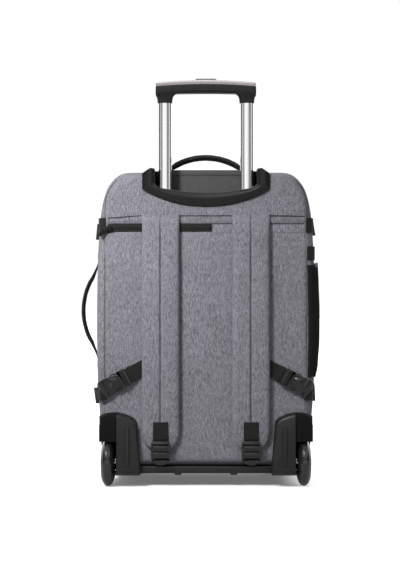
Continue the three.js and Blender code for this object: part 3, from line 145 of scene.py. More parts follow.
def evenly(points, count):
    """The same line with its points evenly spaced."""
    lengths = [0]
    for a, b in zip(points, points[1:]):
        lengths.append(lengths[-1] + math.dist(a, b))
    made, i = [], 0
    for step in range(count):
        want = lengths[-1] * step / (count - 1)
        while i < len(points) - 2 and lengths[i + 1] < want:
            i += 1
        t = (want - lengths[i]) / max(lengths[i + 1] - lengths[i], 1e-9)
        made.append(tuple(p + (q - p) * t for p, q in zip(points[i], points[i + 1])))
    return made


def smooth(points, count, steps=6):
    """Evenly spaced points on a smooth curve through these."""
    return evenly(spline(points, steps), count)


def ease(x, low, high):
    """0 up to low, 1 from high on, and a smooth step between."""
    t = min(max((x - low) / (high - low), 0), 1)
    return t * t * (3 - 2 * t)


def read(rows, x, column):
    """A table's column at x, which is its first column."""
    for a, b in zip(rows, rows[1:]):
        if x <= b[0]:
            return a[column] + (b[column] - a[column]) * ease(x, a[0], b[0])
    return rows[-1][column]


def wave(x, y, z, size, seed=0.0):
    """Soft, repeatable unevenness from -1 to 1 with bumps of about this size."""
    return noise.noise(Vector((x / size + seed, y / size - seed, z / size + 2 * seed)))


def bend(corners, radii, steps=4):
    """A closed loop of corners, each rounded by its own radius."""
    made = []
    count = len(corners)
    for i in range(count):
        corner = Vector(corners[i])
        before = Vector(corners[i - 1]) - corner
        after = Vector(corners[(i + 1) % count]) - corner
        reach = min(radii[i], before.length * 0.48, after.length * 0.48)
        a, b = corner + before.normalized() * reach, corner + after.normalized() * reach
        for step in range(steps + 1):
            t = step / steps
            made.append(tuple(a * (1 - t) ** 2 + corner * 2 * t * (1 - t) + b * t * t))
    return made


def oblong(width, depth, radius, steps=4):
    """A rectangle with round corners, about (0, 0)."""
    w, d = width / 2, depth / 2
    corners = [(w, -d, 0), (w, d, 0), (-w, d, 0), (-w, -d, 0)]
    return [(p[0], p[1]) for p in bend(corners, [radius * 1.6] * 4, steps)]


UNITS = evenly([(o * BODY_HALF, u * 2 * BODY_TALL) for o, u in spline(OUTLINE, 8)], 120)
UNITS = [(x / BODY_HALF, z / (2 * BODY_TALL)) for x, z in UNITS]
SIDE_UNITS = [unit for unit in UNITS if 0.0005 < unit[1] < 0.9995] + [(0.66, 1)]
RISING = [up for _, up in SIDE_UNITS]


def body_ring(y, inset):
    """The body's outline at a depth, drawn in by inset, from the middle of the base up the right side.
    Depth and inset are lengths, or functions of the height up the outline."""
    right = []
    for out, up in UNITS:
        depth, drawn_in = (value(up) if callable(value) else value for value in (y, inset))
        height = BODY_MIDDLE + (BODY_TALL - drawn_in) * (2 * up - 1)
        right.append(((BODY_HALF - drawn_in) * out, depth, height))
    return right + [(-x, y, z) for x, y, z in reversed(right[1:-1])]


def half_width(z, inset):
    """How far the body reaches to each side at a height."""
    up = ((z - BODY_MIDDLE) / (BODY_TALL - inset) + 1) / 2
    k = min(max(bisect.bisect_left(RISING, up), 1), len(RISING) - 1)
    (a, low), (b, high) = SIDE_UNITS[k - 1], SIDE_UNITS[k]
    t = min(max((up - low) / max(high - low, 1e-9), 0), 1)
    return (BODY_HALF - inset) * (a + (b - a) * t)


def depth_at(x, z):
    """How far the body's round edge lies in front of its flat back at a place."""
    low, high = 0.0, float(EDGE_ROUND)
    if abs(z - BODY_MIDDLE) < BODY_TALL - high and abs(x) < half_width(z, high):
        return 0.0
    for _ in range(14):
        middle = (low + high) / 2
        inside = abs(z - BODY_MIDDLE) < BODY_TALL - middle and abs(x) < half_width(z, middle)
        low, high = (middle, high) if inside else (low, middle)
    return EDGE_ROUND - math.sqrt(max(EDGE_ROUND ** 2 - (EDGE_ROUND - low) ** 2, 0))


def collar_edge(name, wall=0.0, top=None):
    """One edge of the collar from its middle to its top, as (x, z) points."""
    half, low, columns, rise = {
        "outer": (COLLAR_HALF, COLLAR_BOTTOM, (0, 1), 1),
        "ridge": (RIDGE_HALF, RIDGE_BOTTOM, (2, 3), RIDGE_HALF / COLLAR_HALF),
        "inner": (INNER_HALF, INNER_BOTTOM, (4, 5), 0.7 * INNER_HALF / COLLAR_HALF),
    }[name]
    half, low = half + wall, low - wall
    top = top or {"outer": OUTER_TOP, "ridge": RIDGE_TOP, "inner": RIDGE_TOP - 1}[name]
    rows = [(half * row[columns[0]], low + CORNER_RISE * rise * row[columns[1]]) for row in COLLAR]
    return spline(rows + [(half, top)], 7)


def recess_floor(x):
    """The height of the collar's inner edge at a place across."""
    edge = collar_edge("inner")
    for a, b in zip(edge, edge[1:]):
        if abs(x) <= b[0]:
            return a[1] + (b[1] - a[1]) * (abs(x) - a[0]) / max(b[0] - a[0], 1e-6)
    return edge[-1][1]


# ---------------------------------------------------------------- modelling

def deselect():
    """Leaves edit mode, with nothing selected."""
    if bpy.context.object and bpy.context.object.mode != "OBJECT":
        bpy.ops.object.mode_set(mode="OBJECT")
    bpy.ops.object.select_all(action="DESELECT")


def only(piece):
    """Makes a piece the only selected one, and active."""
    deselect()
    piece.select_set(True)
    bpy.context.view_layer.objects.active = piece


def named(name):
    """Names the active object and its mesh."""
    piece = bpy.context.object
    piece.name = piece.data.name = name
    return piece


def edit(piece, *steps):
    """Runs edit-mode operators on all of a piece: each step is an operator and its settings."""
    only(piece)
    bpy.ops.object.mode_set(mode="EDIT")
    bpy.ops.mesh.select_mode(type="VERT")
    for operator, settings in steps:
        bpy.ops.mesh.select_all(action="SELECT")
        operator(**settings)
    bpy.ops.object.mode_set(mode="OBJECT")
    return piece


def close(piece, ends=True):
    """Merges the seam of a wrapped grid, closes its ends and turns its faces out."""
    edit(piece, (bpy.ops.mesh.remove_doubles, {"threshold": 2e-6}))
    if ends:
        bpy.ops.object.mode_set(mode="EDIT")
        bpy.ops.mesh.select_all(action="DESELECT")
        bpy.ops.mesh.select_non_manifold(extend=False)
        bpy.ops.mesh.edge_face_add()
        bpy.ops.object.mode_set(mode="OBJECT")
    return edit(piece, (bpy.ops.mesh.normals_make_consistent, {"inside": False}))


def skin(name, rings, wrapped=True, ends=True, pattern=None):
    """A grid is added and its corners are moved onto rings of points. pattern gives each ring point its
    place, in millimetres, on the material's map."""
    across = len(rings[0]) if wrapped else len(rings[0]) - 1
    along = len(rings) - 1
    deselect()
    bpy.ops.mesh.primitive_grid_add(x_subdivisions=across, y_subdivisions=along, size=2)
    piece = named(name)
    mesh = piece.data
    places = [(round((v.co.x + 1) / 2 * across), round((v.co.y + 1) / 2 * along)) for v in mesh.vertices]
    for v, (i, j) in zip(mesh.vertices, places):
        v.co = at(*rings[j][i % len(rings[0])])
    if pattern:
        chart = mesh.uv_layers.active.data
        for loop in mesh.loops:
            i, j = places[loop.vertex_index]
            chart[loop.index].uv = [value * MM for value in pattern(i % len(rings[0]), j)]
    if wrapped:
        close(piece, ends)
    return piece


def modify(piece, kind, **settings):
    """Applies a modifier to a piece."""
    only(piece)
    modifier = piece.modifiers.new(kind.title(), kind)
    for key, value in settings.items():
        setattr(modifier, key, value)
    bpy.ops.object.modifier_apply(modifier=modifier.name)
    return piece


def carve(piece, tool):
    """Cuts a tool out of a piece, and removes the tool."""
    modify(piece, "BOOLEAN", operation="DIFFERENCE", object=tool, solver="EXACT")
    bpy.data.objects.remove(tool)
    return piece


def block(name, low, high, soft=0.0, segments=2):
    """A bevelled box between two corners."""
    deselect()
    bpy.ops.mesh.primitive_cube_add(size=1)
    piece = named(name)
    a, b = at(*low), at(*high)
    for v in piece.data.vertices:
        v.co = Vector((a[k] if v.co[k] < 0 else b[k]) for k in range(3))
    edit(piece, (bpy.ops.mesh.normals_make_consistent, {"inside": False}))
    if soft:
        modify(piece, "BEVEL", width=soft * MM, segments=segments, limit_method="NONE")
    return piece


def joined(name, pieces):
    """Joins pieces into one."""
    only(pieces[0])
    for piece in pieces[1:]:
        piece.select_set(True)
    bpy.ops.object.join()
    return named(name)


def copied(piece, name, shift=0.0, mirror=False):
    """A copy with its own mesh, shifted in x by millimetres, or mirrored over the middle of the bag."""
    only(piece)
    bpy.ops.object.duplicate(linked=False)
    made = named(name)
    for v in made.data.vertices:
        v.co.x = 2 * MID_X - v.co.x if mirror else v.co.x + shift * MM
    if mirror:
        edit(made, (bpy.ops.mesh.flip_normals, {}))
    return made


def refined(node, name, width, segments=3, angle=30.0, flat=2.0):
    """A copy of a hard CAD node with its flat faces merged and its edges rounded."""
    solid = bpy.data.objects.new(name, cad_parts[node].data.copy())
    bpy.context.scene.collection.objects.link(solid)
    solid.data.name = name
    solid.data.materials.clear()
    edit(solid, (bpy.ops.mesh.remove_doubles, {"threshold": 2e-6}),
         (bpy.ops.mesh.dissolve_limited, {"angle_limit": math.radians(flat)}))
    modify(solid, "BEVEL", width=width * MM, segments=segments, limit_method="ANGLE",
           angle_limit=math.radians(angle), use_clamp_overlap=True)
    return solid


def push(piece, how_far):
    """Moves each vertex along its normal by how_far(x, y, z) millimetres."""
    moves = []
    for v in piece.data.vertices:
        moves.append(v.normal * how_far(*place_of(v.co)) * MM)
    for v, move in zip(piece.data.vertices, moves):
        v.co += move
    return piece


def swept(name, path, side, section, swell=None):
    """A section carried along a path. side is the direction that the section's first number runs in, and its
    second runs along side x path. swell gives both their factors at a share of the path. The piece's map
    holds the way across and along."""
    rings, run, lengths = [], 0.0, []
    side = Vector(side).normalized()
    for i, point in enumerate(path):
        here = Vector(point)
        before, after = Vector(path[max(i - 1, 0)]), Vector(path[min(i + 1, len(path) - 1)])
        ahead = (after - before).normalized()
        out = side.cross(ahead).normalized()
        run += (here - Vector(path[i - 1])).length if i else 0.0
        lengths.append(run)
        wide, thick = swell(i / (len(path) - 1)) if swell else (1, 1)
        rings.append([tuple(here + side * a * wide + out * b * thick) for a, b in section])
    return skin(name, rings, pattern=lambda i, j: (section[i][0], lengths[j]))


def stitched(name, lines, finish, pitch=3.4, length=2.5, thick=0.34):
    """Rows of small stitches. Each line is a list of points, and each stitch a copy of one long bead."""
    deselect()
    bpy.ops.mesh.primitive_uv_sphere_add(segments=6, ring_count=4, radius=1)
    bead = named(name)
    shape = [v.co.copy() for v in bead.data.vertices]
    faces = [list(p.vertices) for p in bead.data.polygons]
    points, skins = [], []
    for line in lines:
        total = sum(math.dist(a, b) for a, b in zip(line, line[1:]))
        spots = evenly(line, max(int(total / pitch), 2))
        for a, b in zip(spots, spots[1:]):
            a, b = Vector(a), Vector(b)
            ahead = (b - a).normalized()
            side = ahead.cross(Vector((0, -1, 0.01))).normalized()
            out = side.cross(ahead)
            middle, start = (a + b) / 2, len(points)
            for v in shape:
                place = middle + ahead * v.z * length / 2 + side * v.x * thick + out * v.y * thick
                points.append(at(*place))
            skins += [[start + i for i in face] for face in faces]
    mesh = bpy.data.meshes.new(name)
    mesh.from_pydata(points, [], skins)
    bead.data = mesh
    edit(bead, (bpy.ops.mesh.normals_make_consistent, {"inside": False}))
    return dressed(bead, finish, angle=80)


def dressed(piece, finish, node=None, angle=38.0, body="bag"):
    """Gives a finished piece its material, its shading and its body, and hides the CAD node it stands for."""
    piece.data.materials.clear()
    piece.data.materials.append(FINISHES[finish])
    only(piece)
    bpy.ops.object.shade_smooth_by_angle(angle=math.radians(angle), keep_sharp_edges=False)
    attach(piece, body)
    if node:
        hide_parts(node)
    return piece


# ---------------------------------------------------------------- materials

FINISHES = {}


class Wire:
    """A node's output. Arithmetic on it adds Math nodes."""

    def __init__(self, finish, socket):
        self.finish, self.socket = finish, socket

    def math(self, operation, *others, clamp=False):
        """A Math node's output with this as its first value."""
        values = dict(enumerate((self, *others)))
        return self.finish.node("Math", {"operation": operation, "use_clamp": clamp}, values)

    def __add__(self, other):
        return self.math("ADD", other)

    def __sub__(self, other):
        return self.math("SUBTRACT", other)

    def __mul__(self, other):
        return self.math("MULTIPLY", other)

    def __rsub__(self, other):
        return self.finish.node("Math", {"operation": "SUBTRACT"}, {0: other, 1: self})

    __radd__ = __add__

    def held(self):
        """Kept between 0 and 1."""
        return self.math("ADD", 0.0, clamp=True)

    def eased(self, low, high):
        """0 below low, 1 above high, and a smooth step between."""
        settings = {"interpolation_type": "SMOOTHSTEP"}
        return self.finish.node("MapRange", settings, {0: self, 1: low, 2: high})


class Finish:
    """One material, or the world, built node by node."""

    def __init__(self, name, owner=None):
        if not owner:
            owner = FINISHES[name] = bpy.data.materials.new(name)
        owner.use_nodes = True
        self.tree = owner.node_tree
        self.tree.nodes.clear()

    def node(self, kind, settings=None, sockets=None, output=0):
        """A new node's output. settings are its own values, and sockets what goes into its inputs."""
        made = self.tree.nodes.new("ShaderNode" + kind)
        for key, value in (settings or {}).items():
            setattr(made, key, value)
        for key, value in (sockets or {}).items():
            if isinstance(value, Wire):
                self.tree.links.new(value.socket, made.inputs[key])
            else:
                made.inputs[key].default_value = value
        return Wire(self, made.outputs[output])

    def place(self):
        """Object coordinates, in metres."""
        return self.node("TexCoord", output="Object")

    def parts(self, vector):
        """A vector's three numbers."""
        first = self.node("SeparateXYZ", sockets={0: vector})
        return [Wire(self, output) for output in first.socket.node.outputs]

    def scaled(self, vector, factors):
        """A vector times another."""
        return self.node("VectorMath", {"operation": "MULTIPLY"}, {0: vector, 1: factors})

    def grain(self, vector, size, detail=2.0, rough=0.5):
        """Noise from 0 to 1 with grains of a size in millimetres, given for each axis."""
        factors = tuple(1000 / s for s in size)
        return self.node("TexNoise", None, {"Vector": self.scaled(vector, factors), "Scale": 1.0,
                                            "Detail": detail, "Roughness": rough})

    def mixed(self, factor, a, b):
        """A colour between two colours."""
        a, b = (colour if isinstance(colour, Wire) else (*colour, 1) for colour in (a, b))
        return self.node("Mix", {"data_type": "RGBA"}, {0: factor, 6: a, 7: b}, output=2)

    def bumped(self, height, depth):
        """A normal from a height of 0 to 1 that stands for depth millimetres."""
        return self.node("Bump", None, {"Height": height, "Distance": depth * MM, "Strength": 1.0})

    def done(self, **sockets):
        """Ends the material with a shader that has these inputs."""
        values = {key.replace("_", " ").title(): value for key, value in sockets.items()}
        values = {key.replace("Ior", "IOR"): value for key, value in values.items()}
        shader = self.node("BsdfPrincipled", None, values)
        self.tree.links.new(shader.socket, self.tree.nodes.new("ShaderNodeOutputMaterial").inputs[0])


def tint(colour, factor=1.0):
    """A darker or lighter colour."""
    return tuple(min(c * factor, 1) for c in colour[:3])


def heather(name, colour, contrast=1.0):
    """Two-tone woven cloth: long upright flecks over a fine plain weave."""
    f = Finish(name)
    place = f.place()
    streaks = f.grain(place, (1.3, 1.3, 7.5), 2, 0.6)
    flecks = f.grain(place, (0.85, 0.85, 2.7), 1)
    weave = f.grain(place, (0.42, 0.42, 0.7), 1)
    broad = f.grain(place, (46, 46, 70), 1)
    tone = (streaks * 1.35 + flecks * 1.0 + weave * 0.35 + broad * 0.12 - 0.91).eased(0.0, 1.0)
    tone = (tone - 0.5) * (contrast * 1.15) + 0.5
    hue = f.grain(place, (3.0, 3.0, 9), 1).eased(0.35, 0.65)
    dark = f.mixed(hue, tint(colour, 0.5), (colour[0] * 0.52, colour[1] * 0.49, colour[2] * 0.5))
    light = f.mixed(hue, tint(colour, 1.5), (colour[0] * 1.53, colour[1] * 1.49, colour[2] * 1.5))
    height = weave * 0.5 + flecks * 0.3 + streaks * 0.2
    f.done(base_color=f.mixed(tone.held(), dark, light), roughness=tone * 0.1 + 0.8,
           normal=f.bumped(height, 0.42), specular_ior_level=0.22, sheen_weight=0.12, sheen_roughness=0.5)


def ridges(position, pitch, shift=0.0):
    """Ridges from 0 to 1, each pitch millimetres from the next."""
    return (position * (1000 / pitch) + shift).math("FRACT").math("PINGPONG", 0.5) * 2


def ribbed(name, colour):
    """Woven webbing: ribs across, a herringbone between them and a bound edge on each side."""
    f = Finish(name)
    across, along, _ = f.parts(f.node("UVMap"))
    ribs = ridges(along, 1.25, (across * (1000 / 3.2)).math("PINGPONG", 0.5))
    thread = ridges(across, 0.7)
    edge = (across * 1000).math("ABSOLUTE").eased(10.6, 11.4)
    height = ribs * 0.7 + thread * 0.3
    fluff = f.grain(f.place(), (0.5, 0.5, 0.5), 2)
    tone = (height * 0.7 + fluff * 0.5).held()
    f.done(base_color=f.mixed(tone, tint(colour, 0.5), tint(colour, 1.6)),
           roughness=0.62 + fluff * 0.16 - edge * 0.06, normal=f.bumped(height + edge * 0.6, 0.28),
           specular_ior_level=0.2, sheen_weight=0.04)


def moulded(name, colour, rough, pebble, depth, shine):
    """Moulded plastic with a pebbled skin, its grains pebble wide and depth high, polished here and there."""
    f = Finish(name)
    place = f.place()
    grains = f.node("TexVoronoi", {"feature": "SMOOTH_F1"}, {
        "Vector": f.scaled(place, (1000 / pebble,) * 3), "Scale": 1.0, "Smoothness": 0.6})
    worn = f.grain(place, (28, 28, 28), 3)
    f.done(base_color=f.mixed(worn, tint(colour, 0.8), tint(colour, 1.25)),
           roughness=rough + (worn - 0.5) * 0.16, normal=f.bumped(grains, depth),
           specular_ior_level=shine)


def drawn(name, colour, rough, size, swing, grooves=False):
    """Drawn metal, with fine lines along one way. size is their grain, and swing what they do to its
    roughness. With grooves, painted shade darkens the grooves of the tubes in place of their shadow."""
    f = Finish(name)
    place = f.place()
    lines = f.grain(place, size, 1)
    stains = f.grain(place, (30, 30, 60), 2)
    shade = f.mixed(lines * 0.6 + stains * 0.4, tint(colour, 0.9), tint(colour, 1.03))
    # Painted shade: the colour in each groove drops to a quarter of the metal's, standing in for the shadow
    # there
    if grooves:
        x = f.parts(place)[0]
        off_tube = ((x - MID_X).math("ABSOLUTE") - TUBE_X * MM).math("ABSOLUTE")
        off = (off_tube - GROOVE * MM).math("ABSOLUTE")
        shade = f.mixed(off.eased(0.9 * MM, 0.5 * MM), shade, tint(colour, 0.25))
    f.done(base_color=shade, metallic=1.0, roughness=rough + (lines - 0.5) * swing + (stains - 0.5) * 0.04)


def coated(name, colour):
    """Smooth coated tape with a cloth grain pressed into it."""
    f = Finish(name)
    place = f.place()
    grain = f.grain(place, (0.5, 0.5, 0.5), 1)
    smear = f.grain(place, (14, 14, 5), 2)
    f.done(base_color=f.mixed(smear, tint(colour, 0.75), tint(colour, 1.3)),
           roughness=0.52 + smear * 0.16, normal=f.bumped(grain, 0.05), specular_ior_level=0.15)


def woven(name, colour):
    """Plain dark cloth."""
    f = Finish(name)
    place = f.place()
    x, _, z = f.parts(place)
    cloudy = f.grain(place, (7, 7, 9), 3)
    height = ridges(x, 0.9).math("MAXIMUM", ridges(z, 0.9))
    f.done(base_color=f.mixed((height * 0.4 + cloudy * 0.7).held(), tint(colour, 0.72), tint(colour, 1.3)),
           roughness=0.78 + cloudy * 0.12, normal=f.bumped(height, 0.12), specular_ior_level=0.12)


def rubber(name, colour):
    """Cast urethane tread: glossy, with dust in fine scuffs round the rim."""
    f = Finish(name)
    place = f.place()
    scuffs = f.grain(place, (14, 1.6, 1.6), 3)
    dust = f.grain(place, (5, 5, 5), 3).eased(0.55, 0.8)
    f.done(base_color=f.mixed(dust * 0.5, tint(colour), tint(colour, 2.4)),
           roughness=0.14 + scuffs * 0.12 + dust * 0.12, normal=f.bumped(scuffs, 0.02), coat_weight=0.3,
           coat_roughness=0.08, specular_ior_level=0.6)


def make_finishes(colours):
    """Makes every material of the bag."""
    heather("heather_cloth", colours.cloth)
    heather("heather_edge", tint(colours.cloth, 0.9), 0.8)
    heather("thread_grey", tint(colours.cloth, 0.75), 0.4)
    # Painted shade: near-black cloth for the strips that stand in for the shadow at folded seams
    heather("painted_fold_shade", tint(colours.cloth, 0.22), 0.4)
    woven("recess_cloth", colours.recess)
    woven("black_cloth", tint(colours.webbing, 0.9))
    ribbed("webbing", colours.webbing)
    woven("thread_black", tint(colours.webbing, 2.6))
    coated("zip_tape", colours.zip)
    moulded("collar_plastic", tint(colours.plastic, 0.9), 0.3, 0.5, 0.008, 0.4)
    moulded("housing_plastic", colours.plastic, 0.33, 0.9, 0.02, 0.45)
    # Painted shade in part: the rougher, deeper pebbled skin is the cap's own, but its colour at 0.6 of the
    # plastic stands in for the shade on the set-back cap
    moulded("cap_plastic", tint(colours.plastic, 0.6), 0.55, 0.9, 0.05, 0.12)
    moulded("grip_plastic", tint(colours.plastic, 0.9), 0.36, 0.7, 0.02, 0.4)
    moulded("buckle_plastic", tint(colours.plastic, 0.6), 0.2, 0.6, 0.006, 0.7)
    moulded("black_metal", tint(colours.plastic, 0.5), 0.24, 0.8, 0.01, 0.3)
    rubber("wheel_tread", colours.wheel)
    drawn("tube_metal", colours.metal, 0.17, (1.2, 1.2, 140), 0.03, True)
    drawn("cover_metal", (colours.metal[0] * 0.95, colours.metal[1] * 0.88, colours.metal[2] * 0.89), 0.2,
          (60, 0.8, 0.8), 0.05)
    drawn("axle_metal", tint(colours.metal, 0.7), 0.34, (1, 1, 1), 0.1)


# ---------------------------------------------------------------- cloth body

def recess_tool():
    """What the collar's liner and the recess take out of the cloth."""
    edge = collar_edge("inner", 2.8, 600)
    outline = edge + [(-x, z) for x, z in reversed(edge[1:])]
    return skin("recess_cut", [[(x, y, z) for x, z in outline] for y in (-40, RECESS_FRONT)])


def tube_tool(side, gap, low):
    """What one tube of the pull handle takes out of the pieces that it slides through, from low up."""
    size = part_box("lower_tube_right")[1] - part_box("lower_tube_right")[0]
    outline = oblong(size.x / MM + 2 * gap, size.y / MM + 2 * gap, 5.5)
    return skin("tube_cut", [[(side * TUBE_X + x, TUBE_Y + y, z) for x, y in outline] for z in (low, 552)])


def housing_arch(inner, outer, low):
    """The wheel housing's arched top, from its inner to its outer end."""
    rows = ((0, 0), (0.08, 0.4), (0.27, 0.76), (0.53, 1), (0.8, 0.93), (1, 0.66))  # out, up
    return [(inner + (outer - inner) * out, low + 16.5 * up) for out, up in spline(rows, 6)]


def housing_form(name, grow):
    """The right wheel housing's outer form: an arched top, leaning and rounded over at the back."""
    outer, foot_z = HOUSING_OUT + grow, HOUSING_FOOT - grow
    arch = housing_arch(HOUSING_IN - grow, outer, 104.5 + grow)
    inner_side = evenly([(109 - grow, foot_z), arch[0]], 8)[:-1]
    outline = inner_side + arch + evenly([arch[-1], (outer, foot_z)], 8)[1:]
    rings = []
    for inset, drop in ((0, 20), (0.5, 12), (1.4, 5.6), (2.6, 2.6), (4.2, 0.9), (6.4, 0.2), (9, 0)):
        rings.append([(x, HOUSING_BACK - grow + inset, z - drop * ease(z, 40, 112)) for x, z in outline])
    rings.append([(x, HOUSING_FRONT + grow, z) for x, z in outline])
    return skin(name, rings)


def housing_tools(grow):
    """What the two wheel housings take out of the cloth."""
    right = housing_form("housing_cut", grow)
    return right, copied(right, "housing_cut_left", mirror=True)


def build_body(sizes):
    """The hollow cloth body and its domed front."""
    def edge_ring(angle):
        """A ring round the back edge, which stands out beside the seam on the two sides alone."""
        def radius(up):
            """The edge's radius at a share of the height."""
            return EDGE_ROUND + lip(angle) * (1 - ease(up, 0.8, 0.9))
        return body_ring(lambda up: EDGE_ROUND - radius(up) * math.cos(angle),
                         lambda up: EDGE_ROUND - radius(up) * math.sin(angle))

    rings = [body_ring(1.4, 16)] + [edge_ring(math.pi / 2 * k / 12) for k in range(13)]
    for k in range(1, 17):
        share = k / 16
        depth = EDGE_ROUND + (BULGE_END - EDGE_ROUND) * share
        rings.append(body_ring(depth, -BULGE * math.sin(math.pi * share)))
    rings += [body_ring(155.5, 0.5), body_ring(158, 1.8), body_ring(159.5, 4.5)]
    body = skin("body_cloth", rings)
    puff = sizes.cloth_relief * 1000
    push(body, lambda x, y, z: puff * ease(y, 4, 30) * ease(-y, -152, -130) * (
        wave(x, y, z, 62) + 0.35 * wave(x, y, z, 21, 3)))
    carve(body, recess_tool())
    for side in (1, -1):
        carve(body, tube_tool(side, 2.8, 44))
    for tool in housing_tools(0.3):
        carve(body, tool)
    dressed(body, "heather_cloth", "body_shell", 50)

    rings = [body_ring(GUSSET + 0.4, 5), body_ring(GUSSET + 1.6, 1.4), body_ring(GUSSET + 4, 0.2)]
    face, seam_inset = GUSSET + FRONT_DEPTH, 40.2
    for k in range(1, 13):
        angle = math.pi / 2 * k / 12
        rings.append(body_ring(face - FRONT_ROUND * (1 - math.sin(angle)),
                               FRONT_ROUND * (1 - math.cos(angle))))
    for inset in (37, 39, seam_inset, 41.4, 43.4, 48, 62, 80, 100, 122, 144, 160, 171, 178):
        seam = 1.5 * math.exp(-((inset - seam_inset) / 1.6) ** 2)
        rings.append(body_ring(face + 3.5 * ease(inset, 41, 150) - seam, inset))
    front = skin("front_cloth", rings)
    push(front, lambda x, y, z: puff * 1.3 * ease(y, 170, 200) * (
        wave(x, y, z, 75, 5) + 0.3 * wave(x, y, z, 24)))
    dressed(front, "heather_cloth", "front_panel", 50)


def back_face(x, z, puff):
    """The back cloth's depth at a place: it swells softly, least under the side webbing."""
    flat = ease(abs(x), 60, 100) * (1 - ease(abs(z - 175), 30, 60))
    swell = puff * (0.9 * wave(x, 0, z, 88, 1.7) + 0.35 * wave(x, 0, z, 33, 4.1))
    return PANEL_FACE - 0.25 + min(swell, 0.15) * (1 - 0.85 * flat) - 0.5 * (1 - flat) * ease(430 - z, 0, 60)


def panel_edge(z):
    """How far the back's panels reach: straight seams that meet the body's outline near its top."""
    return min(PANEL_HALF, half_width(z, PANEL_INSET))


def back_sheet(name, low, high, puff, thick, tucked, pitch, left=None):
    """One cloth panel of the back. low is a height, or a function of x, and left is its left end where that
    isn't the seam at the side. tucked says how far its left, right, lower and upper edges turn in, and pitch
    how far its rows are apart."""
    lowest = low(0) if callable(low) else low
    columns, rows = 64, max(6, int((high - lowest) / pitch))
    rings = []
    for j in range(rows + 1):
        v = (1 - math.cos(math.pi * j / rows)) / 2 * 0.6 + j / rows * 0.4
        ring = []
        for i in range(columns + 1):
            u = (1 - math.cos(math.pi * i / columns)) / 2 * 0.7 + i / columns * 0.3
            z = lowest + (high - lowest) * v
            x0, x1 = -panel_edge(z) if left is None else left, panel_edge(z)
            x = x0 + (x1 - x0) * u
            if callable(low):
                z = low(x) + (high - low(x)) * v
            gaps = (x - x0, x1 - x, z - lowest, high - z)
            turn = max(tuck * math.exp(-max(gap, 0) / 2.6) for tuck, gap in zip(tucked, gaps))
            y = back_face(x, z, puff)
            ring.append((x, depth_at(x, z) + y + (-0.3 - y) * turn, z))
        rings.append(ring)
    sheet = skin(name, rings, wrapped=False)
    return modify(sheet, "SOLIDIFY", thickness=thick * MM, offset=-1, use_even_offset=True)


def yoke_edge(x):
    """The yoke's lower edge, which drops a little towards the sides."""
    return YOKE_SEAM + 0.8 - 4.6 * ease(-x, 96, 176) - 1.6 * ease(x, 118, 176)


def build_panels(sizes):
    """The yoke, the flap over the zip, and the back's large panel with the corner beside the zip."""
    puff = sizes.cloth_relief * 1000
    yoke = back_sheet("yoke_cloth", yoke_edge, 516.4, puff * 0.5, 2.4, (1, 1, 0, 1), 2.6)
    push(yoke, lambda x, y, z: 0.9 * ease(470 - z, 0, 18) * ease(160 - abs(x), 0, 12) if y < -1 else 0)
    carve(yoke, recess_tool())
    dressed(yoke, "heather_cloth", "yoke", 50)
    flap = back_sheet("flap_cloth", ZIP_TOP - 0.4, YOKE_SEAM + 1.5, puff * 0.3, 1.2, (1, 1, 0.6, 0.9), 1.3)
    dressed(flap, "heather_cloth", "zip_flap", 50)
    pocket = back_sheet("back_cloth", 37.8, ZIP_LOW, puff, 1.8, (1, 1, 1, 0.45), 6)
    for tool in housing_tools(0.5):
        carve(pocket, tool)
    dressed(pocket, "heather_cloth", "back_pocket", 50)
    infill = back_sheet("back_cloth_corner", ZIP_LOW - 1, ZIP_TOP - 0.4, puff * 0.3, 1.5, (0.5, 1, 0, 0.6),
                        1.5, ZIP_END + 0.2)
    dressed(infill, "heather_cloth", angle=50)


# ---------------------------------------------------------------- zips

